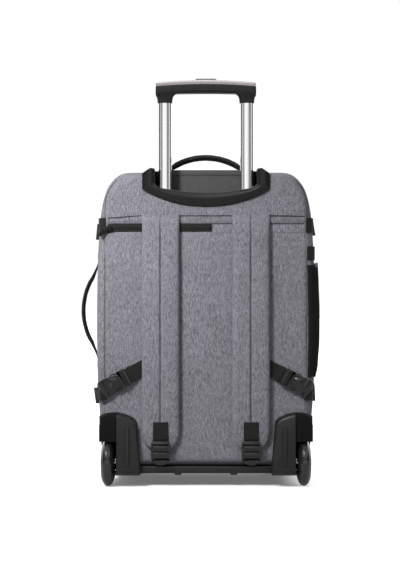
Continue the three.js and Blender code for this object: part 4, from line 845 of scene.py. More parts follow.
def build_zips():
    """The back's coated zip with its slider, and the main zip with its two."""
    strip = (  # up, depth
        (-6.7, -0.5), (-6.75, -2.7), (-5.6, -3.1), (-1.9, -3.2), (-1.35, -3.9), (-0.35, -4.0), (0, -3.55),
        (0.35, -4.0), (1.35, -3.9), (1.9, -3.2), (5.6, -3.1), (6.75, -2.7), (6.7, -0.5))
    rings = []
    middle = (ZIP_TOP + ZIP_LOW) / 2
    left = -half_width(middle, EDGE_ROUND) - 1.5
    for k in range(61):
        x = left + (ZIP_END - left) * k / 60
        drop = 3.4 * ease(-x, 148, 172)
        corner = 4.5 * (1 - math.sqrt(max(1 - ease(x, ZIP_END - 5, ZIP_END + 1) ** 2, 0)))
        rings.append([(x, y, middle - drop + (up if up > 0 else up - corner * up / 6.7)) for up, y in strip])
    zip_tape = skin("back_zip_tape", rings)
    dressed(zip_tape, "zip_tape", "back_zip", 25)

    for word in ("right", "left"):
        slider = refined("main_zip_slider_" + word, "zip_slider_" + word, 0.5)
        dressed(slider, "black_metal", "main_zip_slider_" + word)

    x, z = -160, 425.5
    body = block("back_zip_slider", (x - 7, -6.6, z - 4.4), (x + 6, -3.2, z + 4.4), 1.4, 3)
    bridge = block("slider_bridge", (x - 4.5, -9.0, z - 1.6), (x + 3.5, -6.0, z + 1.6), 0.9, 3)
    pull = [(x - 3, -7.6, z), (x - 7, -7.8, z - 1.6), (x - 11, -7.4, z - 6), (x - 15.5, -6.4, z - 11.5)]
    loop = swept("slider_loop", spline(pull, 6), (0, 1, 0), oblong(2.4, 6.4, 1.0),
                 lambda t: (1, 1 + 0.25 * math.sin(math.pi * t)))
    dressed(joined("back_zip_slider", [body, bridge, loop]), "black_metal")

    tape = (  # depth, off the cloth
        (153.4, 0.1), (153.4, 0.95), (158.2, 1.3), (158.8, 2.3), (159.6, 2.45), (160, 2.0), (160.4, 2.45),
        (161.2, 2.3), (161.8, 1.3), (166.6, 0.95), (166.6, 0.1))
    lowest = 92
    half = [(out, up) for out, up in UNITS if BODY_MIDDLE + BODY_TALL * (2 * up - 1) >= lowest]
    path = half + [(-out, up) for out, up in reversed(half[:-1])]
    rings = [[((BODY_HALF + off) * out, y, BODY_MIDDLE + (BODY_TALL + off) * (2 * up - 1)) for y, off in tape]
             for out, up in path]
    main_zip = skin("main_zip_tape", rings)
    dressed(main_zip, "zip_tape", "main_zip", 25)


# ---------------------------------------------------------------- collar and recess

def build_collar():
    """The collar, and the cloth at the back and sides of its recess."""
    outer, ridge, inner = (collar_edge(name) for name in ("outer", "ridge", "inner"))
    wall = collar_edge("inner", 2.5)

    def section(k, side):
        """The collar's section at one point of its edges."""
        (ox, oz), (rx, rz), (ix, iz), (wx, wz) = outer[k], ridge[k], inner[k], wall[k]
        corners = [(ox, -2.5, oz), (ox, -5.2, oz), ((ox + rx) / 2, -10.9, (oz + rz) / 2), (rx, -13.6, rz),
                   (ix, -8.6, iz), (ix, 43, iz), (wx, 43, wz), (wx, -2.5, wz)]
        return [(side * x, y, z) for x, y, z in bend(corners, [0.5, 2.2, 6, 2.4, 2.2, 0.6, 0.6, 0.6])]

    rings = [section(k, -1) for k in range(len(outer) - 1, 0, -1)]
    rings += [section(k, 1) for k in range(len(outer))]
    collar = skin("collar_moulding", rings)
    for side in (-1, 1):
        carve(collar, tube_tool(side, 0.8, 440))
    dressed(collar, "collar_plastic", "collar", 32)

    def lining(name, x0, x1, top, depth, hem):
        """Cloth that hangs in the recess, down to its floor."""
        rings = []
        for j in range(25):
            v = j / 24
            ring = []
            for i in range(29):
                x = x0 + (x1 - x0) * i / 28
                low = recess_floor(x) - 1.6
                z = low + (top - low) * v
                sag = 0.7 * wave(x, 0, z, 46, 2) * ease(top - z, 0, 10)
                fold = hem * (ease(z, top - 9, top - 8) - 1.2 * ease(z, top - 1.2, top))
                ring.append((x, depth + sag - fold, z))
            rings.append(ring)
        sheet = skin(name, rings, wrapped=False)
        return modify(sheet, "SOLIDIFY", thickness=1.8 * MM, offset=-1)

    panel = lining("recess_back", -74, 74, 526.6, 43.2, 0.9)
    dressed(panel, "recess_cloth", "recess_panel", 50)
    for side, word in ((-1, "left"), (1, "right")):
        panel = lining("recess_side_" + word, side * 86, side * 73, 524.6, 42.4, 0)
        dressed(panel, "black_cloth", angle=50)
    stitched("recess_stitches", [[(-72, 42.0, 517.9), (72, 42.0, 517.9)]], "thread_black")


# ---------------------------------------------------------------- pull handle

def tube_section():
    """A tube's outline: round edges, a narrow groove near each, and a slightly crowned middle."""
    face = []
    for k in range(7):
        angle = math.radians(15 * k)
        face.append((TUBE_HALF - TUBE_ROUND + TUBE_ROUND * math.cos(angle),
                     TUBE_ROUND - TUBE_DEEP - TUBE_ROUND * math.sin(angle)))
    face += [(GROOVE + 0.55, -TUBE_DEEP), (GROOVE, 0.85 - TUBE_DEEP), (GROOVE - 0.55, -TUBE_DEEP),
             (4.2, -6.62), (3, -6.74), (1.5, -6.84), (0, -6.88)]
    face += [(-x, y) for x, y in reversed(face[:-1])]
    return face + [(-x, -y) for x, y in face]


def build_pull_handle():
    """The upper tubes, the grip with its cover and button, and the finish of the other tubes."""
    section = tube_section()
    for side, word in ((1, "right"), (-1, "left")):
        rings = [[(side * TUBE_X + x, TUBE_Y + y, z) for x, y in section]
                 for z in (200, 350, 500, 600, 645)]
        tube = skin("upper_tube_profile_" + word, rings)
        dressed(tube, "tube_metal", "upper_tube_" + word, 22, body="upper_stage")

    def crown(x, rise):
        """How far the grip arches up at a place, to rise in its middle."""
        return rise * (1 - (x / GRIP_HALF) ** 2)

    def bar(name, low, high, rounds):
        """A bar along the grip between two heights, with the radii of its lower and upper edges. The larger
        radius draws its face in."""
        rings = []
        ends = [0, 0.25, 0.8, 1.6, 2.8, 4.2, 5.5]
        xs = [end - GRIP_HALF for end in ends] + [5 * k - 75 for k in range(31)]
        xs += [GRIP_HALF - end for end in reversed(ends)]
        for x in xs:
            past = GRIP_END_ROUND - min(GRIP_HALF - abs(x), GRIP_END_ROUND)
            inset = GRIP_END_ROUND - math.sqrt(max(GRIP_END_ROUND ** 2 - past ** 2, 0))
            a, b = low(x), high(x)
            y0, y1 = TUBE_Y - GRIP_DEEP + inset, TUBE_Y + GRIP_DEEP - inset
            cut_low, cut_high = inset * (rounds[0] > 1), inset * (rounds[1] > 1)
            top, base = (1.8, 0) if rounds[0] > 1 else (0, 1.8)
            corners = [(x, y0 + base, a + cut_low), (x, y1 - base, a + cut_low), (x, y1 - top, b - cut_high),
                       (x, y0 + top, b - cut_high)]
            rings.append(bend(corners, [rounds[0], rounds[0], rounds[1], rounds[1]], 5))
        return skin(name, rings)

    def parting(x):
        """The height where the grip's cover meets its body."""
        return 662.8 + crown(x, 3.7)

    body = bar("grip_body", lambda x: 650.8 + crown(x, 1.7) - 4.6 * ease(abs(x), 76, 80),
               lambda x: parting(x) - 0.1, (8, 0.8))
    sockets = []
    for side in (1, -1):
        rings = []
        for z, wide, deep, shift in (
                (636.2, 24.2, 15.4, 0), (636.8, 24.8, 16, 0), (640.6, 25.2, 16.4, 0), (645, 26.8, 18, 0),
                (648.5, 28.6, 20.4, 0.6), (651, 31, 23, 2), (653, 34, 24.6, 3.5), (656, 40, 25, 6.5)):
            centre = side * (TUBE_X - shift)
            rings.append([(centre + x, TUBE_Y + y, z) for x, y in oblong(wide, deep, 4.6, 6)])
        sockets.append(skin("grip_socket", rings))
    grip = joined("grip_body", [body, *sockets])
    dressed(grip, "grip_plastic", "grip", 32, body="upper_stage")
    cover = bar("grip_top", lambda x: parting(x) + 0.2, lambda x: 670.4 + crown(x, 3.8), (0.8, 5.4))
    slot = [[(x, TUBE_Y + y, z) for x, y in oblong(36.8, 12.8, 4.2, 6)] for z in (667.5, 690)]
    carve(cover, skin("button_slot", slot))
    dressed(cover, "cover_metal", "grip_cover", 32, body="upper_stage")
    rings = []
    for z, inset in ((670.2, 0.4), (670.5, 0), (675.3, 0), (676.1, 0.25), (676.6, 0.7), (676.9, 1.5)):
        outline = oblong(36 - 2 * inset, 12 - 2 * inset, 4 - inset, 6)
        rings.append([(x, TUBE_Y + y, z) for x, y in outline])
    button = skin("button_cap", rings)
    dressed(button, "grip_plastic", "release_button", 32, body="button")
    for stem, finish in (("lower_tube", "tube_metal"), ("guide_sleeve", "axle_metal")):
        for word in ("right", "left"):
            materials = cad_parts[stem + "_" + word].data.materials
            materials.clear()
            materials.append(FINISHES[finish])


# ---------------------------------------------------------------- carrying handles

def handle_path(span, rise, thick):
    """An arch over a flat face as (along, up) points, with a tab that is sewn down at each end."""
    radius = (span ** 2 / 4 + rise ** 2) / (2 * rise)
    sweep = math.asin(span / 2 / radius)
    face, crown = 1.9, rise - thick / 2
    arc = [(radius * math.sin(a), crown - radius + radius * math.cos(a))
           for a in (-sweep + 2 * sweep * k / 14 for k in range(15))]
    arc = [p for p in arc if p[1] > face + 4]
    end = [(span / 2 + HANDLE_TAB * 0.2, face + 0.2), (span / 2 + HANDLE_TAB * 0.6, face),
           (span / 2 + HANDLE_TAB, face)]
    return smooth([(-along, up) for along, up in reversed(end)] + arc + end, 81, 8)


def padded_section(wide, thick):
    """A padded band with thin sewn edges."""
    half = wide / 2
    rows = ((half, 0.9), (half - 0.7, 1.25), (half - 2.6, 1.3), (half - 4.2, thick * 0.36),
            (half - 6.4, thick * 0.47), (half - 9.5, thick / 2), (0, thick / 2 + 0.2))
    upper = spline(rows, 3)
    upper += [(-a, b) for a, b in reversed(upper[:-1])]
    return upper + [(-a, -b) for a, b in upper]


def crossed(corners):
    """The lines of a box stitch: round its four corners and from corner to corner."""
    return [corners + corners[:1], [corners[0], corners[2]], [corners[1], corners[3]]]


def build_carry_handles():
    """The padded handles on the top and on the left side."""
    def swell(thick):
        """Thins a handle to 3 mm where it is sewn down."""
        return lambda t: (1, 3.0 / thick + (1 - 3.0 / thick) * ease(min(t, 1 - t), 0.11, 0.26))

    path = [(x, TOP_HANDLE_Y, 520.2 + up) for x, up in handle_path(156, 34.5, 9.5)]
    top = swept("top_handle_band", path, (0, 1, 0), padded_section(26, 9.5), swell(9.5))
    push(top, lambda x, y, z: 0.3 * wave(x, y, z, 12, 2))
    dressed(top, "webbing", "top_handle", 50)

    span, low, high = 152, half_width(203, 0), half_width(376, 0)
    path = []
    for along, out in handle_path(span, 31, 6.5):
        wall = low + (high - low) * min(max(along / span + 0.5, 0), 1)
        path.append((-wall - 1.7 - out, SIDE_HANDLE_Y, SIDE_HANDLE_Z + along))
    side = swept("side_handle_band", path, (0, 1, 0), padded_section(25, 6.5), swell(6.5))
    push(side, lambda x, y, z: 0.25 * wave(x, y, z, 12, 5))
    dressed(side, "webbing", "side_handle", 50)

    lines = []
    for end in (-1, 1):
        lines += crossed([(end * x, TOP_HANDLE_Y + y, 523.9)
                          for x, y in ((80, -9.5), (94.5, -9.5), (94.5, 9.5), (80, 9.5))])
    stitched("top_handle_stitches", lines, "thread_black")


# ---------------------------------------------------------------- shoulder straps

STRAP_SECTION = ((0, 0.7), (0.025, 0.76), (0.07, 0.93), (0.14, 0.99), (0.35, 1), (0.62, 0.99), (0.8, 0.94),
                 (0.9, 0.84), (0.965, 0.66), (1, 0.42), (0.99, 0.2), (0.93, 0.02), (0.7, 0))  # across, out


def strap_at(z):
    """The strap's half width, thickness and lift at a height."""
    share = (STRAP_TOP - z) / (STRAP_TOP - STRAP_LOW)
    return [full * read(STRAP, share, column) for full, column in ((STRAP_HALF, 1), (11.5, 2), (3.4, 3))]


def strap_face(z):
    """The depth of the strap's outer face at a height."""
    return PANEL_FACE - 0.3 - strap_at(z)[2] - strap_at(z)[1]


def build_straps():
    """The padded straps with their webbing and ladder locks."""
    half_section = spline(STRAP_SECTION, 3)
    section = half_section + [(-a, o) for a, o in reversed(half_section[1:])]
    rings = []
    for k in range(97):
        share = k / 96
        share -= 0.03 * math.sin(2 * math.pi * share)
        z = STRAP_TOP + 3 - (STRAP_TOP + 3 - STRAP_LOW) * share
        half, thick, lift = strap_at(min(z, STRAP_TOP))
        back = PANEL_FACE - 0.3 - lift
        ring = []
        for a, o in section:
            pucker = -0.35 * math.exp(-(a * half / 5) ** 2) * math.sin(z / 2.6) * ease(-o, -1, -0.5)
            soft = 0.7 * wave(a * half, 0, z, 34, 6) + 0.3 * wave(a * half, 0, z, 15, 9)
            ring.append((STRAP_X + half * a, back - thick * o - (soft + pucker) * o * o, z))
        rings.append(ring)
    strap = skin("shoulder_strap_pad_right", rings)
    other = copied(strap, "shoulder_strap_pad_left", shift=-2 * STRAP_X)
    for piece, word in ((strap, "right"), (other, "left")):
        dressed(piece, "heather_cloth", "shoulder_strap_" + word, 60)

    lines = []
    for side in (-1, 1):
        lines.append([(side * STRAP_X, strap_face(z) + 3.0, z) for z in range(440, 108, -6)])
    stitched("strap_seam_stitches", lines, "thread_grey", pitch=3.6, length=2.2, thick=0.4)

    front = (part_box("ladder_lock_right")[0].y - BACK_Y) / MM
    flat = oblong(WEBBING, WEBBING_THICK, 0.5)
    for side, word in ((1, "right"), (-1, "left")):
        x = side * STRAP_X
        path = [(strap_face(108) - 0.4, 107.5), (strap_face(100) - 1.1, 100), (strap_face(90) - 1.1, 90),
                (front + 2.8, 80), (front + 5.6, 74.6), (front + 6, 70.6), (front + 6, 63.2)]
        path = [(x, y, z) for y, z in smooth(path, 50)]
        dressed(swept("strap_web_" + word, path, (1, 0, 0), flat), "webbing", "strap_webbing_" + word)
        path = [(PANEL_FACE - 1.4, 39), (PANEL_FACE - 3, 42.5), (front + 6.4, 46.4), (front + 6, 50),
                (front + 6, 58.4)]
        path = [(x, y, z) for y, z in smooth(path, 40)]
        dressed(swept("lock_web_" + word, path, (1, 0, 0), flat), "webbing", "lock_tab_" + word)
        lock = refined("ladder_lock_" + word, "ladder_lock_frame_" + word, 0.9, 3, 25)
        bars = [block("lock_bar", (x - 12.4, front - 2.7, z - 3.1), (x + 12.4, front + 1.4, z + 3.1),
                      1.3, 4) for z in (66.2, 55.2)]
        lock = joined("ladder_lock_frame_" + word, [lock, *bars])
        dressed(lock, "buckle_plastic", "ladder_lock_" + word)
    lines = []
    for side in (-1, 1):
        lines += crossed([(side * STRAP_X + x, strap_face(z) - 2.1, z)
                          for x, z in ((-9.5, 105), (9.5, 105), (9.5, 88), (-9.5, 88))])
    stitched("strap_web_stitches", lines, "thread_black", pitch=3, length=2.2)


# ---------------------------------------------------------------- side webbing and buckles

def slanted(s, w, y):
    """A place along the slanting webbing on the right: s down it, w across it."""
    along, up = math.cos(SLANT), math.sin(SLANT)
    return TURN_X + s * along + w * up, y, TURN_Z - s * up + w * along


def lip(angle):
    """How far the body's edge stands out beside its seam."""
    return 1.9 * (1 - math.exp(-angle / 0.1)) * math.exp(-angle / 0.75)


def edge_path(z, off, reach, start):
    """Round the body's back edge at a height, from the angle start, at a distance off the cloth, and forward
    along its side."""
    path = []
    for k in range(9):
        angle = start + (math.pi / 2 - start) * k / 8
        out = lip(angle) + off
        path.append((half_width(z, EDGE_ROUND * (1 - math.sin(angle)) - out * math.sin(angle)),
                     EDGE_ROUND * (1 - math.cos(angle)) - out * math.cos(angle), z))
    for k in range(1, 9):
        y = EDGE_ROUND + (reach - EDGE_ROUND) * k / 8
        bulge = BULGE * math.sin(math.pi * (y - EDGE_ROUND) / (BULGE_END - EDGE_ROUND))
        path.append((half_width(z, -bulge - off), y, z))
    return path


def mirrored_pair(piece, stem, finish, node=None, angle=38.0, bodies=("bag", "bag")):
    """Dresses a right-hand piece and its mirrored copy on the left."""
    other = copied(piece, stem + "_left", mirror=True)
    piece.name = piece.data.name = stem + "_right"
    for made, word, body in ((piece, "_right", bodies[0]), (other, "_left", bodies[1])):
        dressed(made, finish, node and node + word, angle, body)


def build_buckles():
    """The side webbing with its fastened buckles, the bands at the corners, and the glides on them."""
    flat = oblong(WEBBING, WEBBING_THICK, 0.5)
    across = (math.sin(SLANT), 0, math.cos(SLANT))
    webs = []
    for name, section, count, w, rows in (  # each row: along the webbing, depth
            ("side_web", flat, 70, 0,
             ((-44, -3.9), (-20, -3.9), (4, -3.9), (15, -4.4), (24, -7), (29.5, -10.6), (34, -11.8),
              (37.5, -10.4), (38.5, -7.4))),
            ("side_web_tail", flat, 40, 0.4,
             ((38, -6.9), (35, -8.7), (29, -8.3), (23, -5.7), (17, -6.4), (12, -6.3), (9, -6.2))),
            ("side_web_keeper", oblong(WEBBING + 2.6, 1.1, 0.4), 26, 0,
             ((17.5, -3.6), (18.2, -7.4), (20.5, -8.2), (22.8, -7.6), (23.5, -3.6)))):
        webs.append(swept(name, [slanted(s, w, y) for s, y in smooth(rows, count)], across, section))
    mirrored_pair(joined("side_web", webs), "side_web", "webbing", "side_webbing")

    plug = refined("buckle_plug_right", "buckle_plug_frame", 0.8, 3, 25)
    for v in plug.data.vertices:
        v.co += Vector((-1.75, 0, 2.97)) * MM
    prongs = []
    rows = ((40, 11.2), (43.5, 12.4), (47.5, 14.6), (51, 14.6), (54, 12.6))  # along, across
    for side in (1, -1):
        path = [slanted(s, side * w, -8.3) for s, w in smooth(rows, 22)]
        prongs.append(swept("prong", path, (0, 1, 0), oblong(5.2, 2.8, 1.2), lambda t: (1, 1 - 0.4 * t)))
    mirrored_pair(joined("buckle_plug_frame", [plug, *prongs]), "buckle_plug_frame", "buckle_plastic",
                  "buckle_plug")

    rings = []
    for s, half, front, ridge, upper, lower in (
            (41.4, 6.6, -8.6, 5.0, 0.8, 1.6), (42, 7.4, -10.2, 5.4, 1.0, 2.8),
            (45, 8.8, -12.2, 5.2, 1.5, 4.6), (50, 11.2, -13.4, 3.6, 2.0, 5.8),
            (56, 13.8, -14.0, 0.5, 2.6, 5.4), (61, 15.0, -14.1, -5, 3.0, 4.2),
            (65.4, 15.4, -13.8, -10.6, 3.0, 2.6), (66.6, 15.2, -13.0, -11, 2.6, 2.0),
            (67.2, 14.4, -11.6, -10, 1.6, 1.2), (68.1, 14.4, -11.5, -6, 1.4, 1.2),
            (68.8, 15.2, -12.8, -3, 1.8, 1.6), (72, 15.3, -13.2, 0, 2.2, 2.0),
            (75.2, 14.8, -12.0, 0, 2.2, 2.0), (76.8, 14, -10.2, 0, 2.0, 1.8),
            (77.4, 13.2, -8.2, 0, 1.4, 1.2)):
        corners = [slanted(s, half * 0.94, -4.6), slanted(s, half, -5.6), slanted(s, half, front + upper),
                   slanted(s, ridge, front), slanted(s, -half, front + lower), slanted(s, -half, -5.6),
                   slanted(s, -half * 0.94, -4.6)]
        rings.append(bend(corners, [0.6, 0.6, 1.0, 0.8, 1.0, 0.6, 0.6], 3))
    mirrored_pair(skin("buckle_shell", rings), "buckle_shell", "buckle_plastic", "buckle_socket", 24)

    z = 155
    path = [(163.5, -7.2, z), (169, -8.0, z), (174.5, -6.4, z)] + edge_path(z, 1.3, 62, 0.9)
    band = swept("side_strap", smooth(path, 80, 5), (0, 0, 1), flat)
    mirrored_pair(band, "side_strap", "webbing", "side_band")
    band = swept("upper_strap", smooth(edge_path(431.5, 1.3, 148, 0.24), 90, 5), (0, 0, 1), flat)
    mirrored_pair(band, "upper_strap", "webbing", "upper_band")
    for node, top, low, drop in (  # how far its top and its foot stand out more, and how far it hangs lower
            ("side_glide_right", -4.6, -3.4, 3), ("side_glide_left", 0.8, -2.8, 7),
            ("upper_glide_right", -5.6, -1.4, 1), ("upper_glide_left", -3.2, -0.8, 8)):
        glide = refined(node, node + "_frame", 0.8, 3, 25)
        side = 1 if node.endswith("right") else -1
        box_low, box_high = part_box(node)
        middle, reach = (box_low.z + box_high.z) / 2, (box_high.z - box_low.z) / 2
        for v in glide.data.vertices:
            up = (v.co.z - middle) / reach
            v.co.x += side * MM * (low + (top - low) * (up + 1) / 2)
            v.co.z = middle + up * reach * 0.82 - drop * MM
        dressed(glide, "buckle_plastic", node, 38)


# ---------------------------------------------------------------- side pocket

POCKET = ((0, 0.3), (0.12, 0.66), (0.35, 0.96), (0.6, 1), (0.85, 0.88), (1, 0.78))  # up, bulge


def build_pocket(sizes):
    """The open pocket: its cloth and hem, the black gusset along its back edge, and the loop over it."""
    rows, seam, rings = 44, None, []
    back, front, turn = POCKET_BACK, POCKET_FRONT, 16
    for j in range(rows + 1):
        up = j / rows
        z = POCKET_LOW + POCKET_TALL * up
        wall = half_width(z, 0)
        out = wall + 7 * read(POCKET, up, 1) * ease(up, -0.06, 0.05)
        line = spline([(wall - 24, back + 13), (wall - 10, back), (out - 5, back + 6), (out, back + turn),
                       (out + 0.4, 60), (out, front - turn), (out - 4, front - 4), (out - 10, front),
                       (wall - 3, front - 3)], 8)
        gather = 0.7 * ease(up, 0.9, 0.99)
        ring = []
        for x, y in line:
            soft = sizes.cloth_relief * 1000 * (wave(x, y, z, 40, 8) + 0.5 * wave(x, y, z, 16, 3))
            swell = (soft + gather * math.sin(y * 0.9)) * ease(y, 12, 30) * ease(front - y, 4, 16)
            ring.append((x + swell, y, z))
        if seam is None:  # the gusset ends at the point nearest to a depth of 15 mm
            seam = min(range(len(line) // 2), key=lambda i: abs(line[i][1] - 15))
        rings.append(ring)
    gusset = skin("pocket_side", [ring[:seam + 1] for ring in rings], wrapped=False)
    modify(gusset, "SOLIDIFY", thickness=1.6 * MM, offset=-1)
    dressed(gusset, "black_cloth", "pocket_gusset", 60)
    panel = skin("pocket_cloth", [ring[seam:] for ring in rings], wrapped=False)
    modify(panel, "SOLIDIFY", thickness=1.8 * MM, offset=-1)
    dressed(panel, "heather_cloth", "side_pocket", 60)
    hem = [(x, y, z + 0.4) for x, y, z in rings[-1][seam - 6:]]
    binding = swept("pocket_hem", evenly(hem, 90), (0, 0, 1), oblong(7.5, 3.0, 1.2))
    dressed(binding, "heather_edge", angle=60)
    welt = [(ring[seam][0] + 0.3, *ring[seam][1:]) for ring in rings]
    piping = swept("pocket_welt", evenly(welt, 60), (0, 1, 0), oblong(2.6, 2.4, 1.0))
    dressed(piping, "black_cloth", angle=60)

    tab = swept("pocket_loop", smooth(edge_path(385.5, 1.2, 40, 0.15), 60, 4), (0, 0, 1),
                oblong(23, WEBBING_THICK, 0.5))
    dressed(tab, "webbing", "pocket_tab")


# ---------------------------------------------------------------- wheels and base

def circled(x, radius, count):
    """A circle of points about the right wheel's axle."""
    angles = [2 * math.pi * k / count for k in range(count)]
    return [(x, WHEEL_Y + radius * math.cos(a), WHEEL_R + radius * math.sin(a)) for a in angles]


def turned(name, profile, steps):
    """A ring turned about the right wheel's axle, from its half width and radius rows."""
    profile = profile + [(-out, radius) for out, radius in reversed(profile) if out]
    circles = [circled(WHEEL_X + out, radius, steps) for out, radius in profile]
    return skin(name, [[circle[k % steps] for circle in circles] for k in range(steps + 1)], ends=False)


def build_wheels():
    """The wheels: a tyre with a rounded tread, and a hub with six spokes on each."""
    tread = ((10.6, 25.3), (10.7, 26.8), (10.0, 29.2), (8.7, 32.2), (6.9, 35.2), (4.6, 37.6), (2.2, 38.8),
             (0, WHEEL_R))
    tyre = turned("tyre_tread", spline(tread, 4), 96)
    rim = [(WHEEL_HALF, 4.9), (WHEEL_HALF, 8.2), (WHEEL_HALF - 0.8, 9.4), (5, 11), (4.4, 13), (4.4, 19),
           (5.4, 21.2), (9.4, 22.2), (10.2, 22.8), (10.3, 24.8)]
    hub = turned("wheel_hub", rim, 64)
    spokes = []
    for k in range(6):
        angle = 2 * math.pi * k / 6
        spoke = block("spoke", (-1, -1, -1), (1, 1, 1))
        for v in spoke.data.vertices:
            across, end, wide = place_of(v.co)
            radial, wide = (9 if end < 0 else 22.6), wide * 1.7
            v.co = at(WHEEL_X + across * 9, WHEEL_Y + radial * math.cos(angle) - wide * math.sin(angle),
                      WHEEL_R + radial * math.sin(angle) + wide * math.cos(angle))
        edit(spoke, (bpy.ops.mesh.normals_make_consistent, {"inside": False}))
        modify(spoke, "BEVEL", width=0.8 * MM, segments=2)
        spokes.append(spoke)
    bodies = ("right_wheel", "left_wheel")
    mirrored_pair(tyre, "tyre_tread", "wheel_tread", "tyre", 30, bodies)
    mirrored_pair(joined("wheel_hub", [hub, *spokes]), "wheel_hub", "housing_plastic", "hub", 30, bodies)
    build_housings()
    build_axles()


def build_housings():
    """The wheel housings: a ribbed leg with its foot and flange, and a duller cap over the wheel."""
    form = housing_form("housing_shell", 0)
    reach = WHEEL_R + WELL_GAP
    carve(form, skin("wheel_well", [circled(x, reach, 96) for x in (WELL_X, BEYOND)]))
    carve(form, block("under", (WELL_X, WHEEL_Y - reach, -20), (BEYOND, WHEEL_Y + reach, WHEEL_R)))
    carve(form, block("behind", (WELL_X, -40, -20), (BEYOND, WHEEL_Y, 74.5)))
    cap = copied(form, "housing_cap")
    carve(form, block("cap_side", (WELL_X - 0.2, -40, 10), (BEYOND, 100, BEYOND)))
    carve(cap, block("leg_side", (60, -40, 0), (WELL_X + 0.2, 100, BEYOND)))
    carve(cap, block("set_back", (140, -40, 50), (BEYOND, -15.6, 140)))
    carve(cap, block("side_step", (173.4, -40, 102.5), (BEYOND, 4, 140)))
    for piece in (form, cap):
        modify(piece, "BEVEL", width=1.1 * MM, segments=3, limit_method="ANGLE", angle_limit=math.radians(32))
    rings = []
    for y, inset in ((-17, 0), (-21.2, 0), (-22.1, 0.7), (-22.5, 1.8)):
        right, left = RIB_X + RIB_HALF - inset, RIB_X - RIB_HALF + inset
        low, high = RIB_LOW + inset, RIB_HIGH - inset
        rings.append(bend([(right, y, low), (right, y, high), (left, y, high), (left, y, low)], [6] * 4, 6))
    rib = skin("housing_rib", rings)
    rings = []
    for z, inset, back in ((20.2, 1.0, -19.6), (21, 0, -20.6), (23.6, 0, -20.6), (24.4, 0.8, -19.8)):
        left, right = 108.2 + inset, 151 - inset
        rings.append(bend([(left, back, z), (right, back, z), (right, 40, z), (left, 40, z)], [3] * 4, 4))
    foot = skin("housing_foot", rings)
    outer, low = 176.2, 76
    outline = [(107.4, 20), *housing_arch(113.8, outer, 106.2), (outer, low), (150, low)]
    flange = skin("housing_flange", [[(x * f + 146 * (1 - f), y, z * f + 72 * (1 - f)) for x, z in outline]
                                     for y, f in ((-1.4, 1), (-5.2, 1), (-5.8, 0.99))])
    mirrored_pair(joined("housing_shell", [form, rib, foot, flange]), "housing_shell", "housing_plastic",
                  "wheel_housing", 30)
    # The cap's darker colour is partly painted shade
    mirrored_pair(cap, "housing_cap", "cap_plastic", angle=30)


def build_axles():
    """The axles' bolts, and the washer and clip at the inner end of each."""
    washer = skin("axle_washer", [circled(x, radius, 32) for x, radius in (
        (147.5, 7.4), (148.6, 7.4), (149.2, 6.8), (149.7, 5.4))])
    plate = block("clip_plate", (147.9, -15, 41), (149.4, -8, 48), 0.4, 2)
    foot = block("clip_foot", (148.4, -14.5, 39.6), (153, -9.5, 41.4), 0.5, 2)
    mirrored_pair(joined("axle_washer", [washer, plate, foot]), "axle_washer", "axle_metal")
    reach = 174.7 * MM
    for word in ("right", "left"):
        axle = refined("axle_" + word, "axle_bolt_" + word, 0.5, 3, 40, 1)
        for v in axle.data.vertices:
            v.co.x = min(max(v.co.x, MID_X - reach), MID_X + reach)
        dressed(axle, "black_metal", "axle_" + word)


def build_base():
    """The base and its two feet."""
    tray = refined("base_tray", "base_moulding", 1.6, 3, 40)
    dressed(tray, "housing_plastic", "base_tray")
    for word in ("right", "left"):
        foot = refined("foot_" + word, "base_foot_" + word, 1.5, 3, 40)
        dressed(foot, "housing_plastic", "foot_" + word)


def build_seams():
    """Top stitching on the cloth of the back, and strips of painted shade where its seams fold."""
    def on_back(x, z, proud):
        """A place off the back's cloth."""
        return x, back_face(x, z, 1.0) - proud, z

    def between(x0, x1, count):
        """Evenly spaced places from x0 to x1."""
        return [x0 + (x1 - x0) * k / count for k in range(count + 1)]

    lines = []
    for x0, x1 in ((-160, -108), (-41, 41), (108, 160)):
        xs = between(x0, x1, 12)
        lines.append([on_back(x, yoke_edge(x) + 3.2, 1.0) for x in xs])
        lines += [[on_back(x, z, 0.1) for x in xs] for z in (443.4, 438.8)]
    for side in (-1, 1):
        a, b = side * STRAP_X - 32.5, side * STRAP_X + 32.5
        lines.append([on_back(*spot) for spot in ((a, 449.5, 1.0), (a, 455, 0.9), (b, 455, 0.9),
                                                  (b, 449.5, 1.0))])
    stitched("back_stitches", lines, "thread_grey", pitch=3.3, length=2.3, thick=0.3)

    def fold(name, places, width, proud):
        """A dark strip of painted shade, for the shadow where a seam's edge turns in."""
        path = [(x, depth_at(x, z) + PANEL_FACE + 0.1 - proud, z) for x, z in places]
        tape = swept(name, evenly(path, 90), (0, 1, 0), oblong(1.4, width, 0.4))
        dressed(tape, "painted_fold_shade", angle=60)

    # Strips of painted shade under the yoke's edge, over the zip flap and along the side seams
    for word, x0, x1 in (("left", -162, -107), ("middle", -42.5, 42.5), ("right", 106.5, 163)):
        fold("yoke_shade_line_" + word, [(x, yoke_edge(x) - 0.5) for x in between(x0, x1, 20)], 1.5, 0.5)
    for word, x0, x1 in (("middle", ZIP_END + 1, 42.5), ("right", 106.5, 162)):
        fold("flap_shade_line_" + word, [(x, ZIP_TOP - 0.5) for x in between(x0, x1, 8)], 1.0, 0)
    for side, word in ((-1, "left"), (1, "right")):
        fold("side_shade_line_" + word, [(side * (panel_edge(z) + 0.2), z) for z in range(112, 512, 5)], 0.9, -1.6)


# ---------------------------------------------------------------- the stage

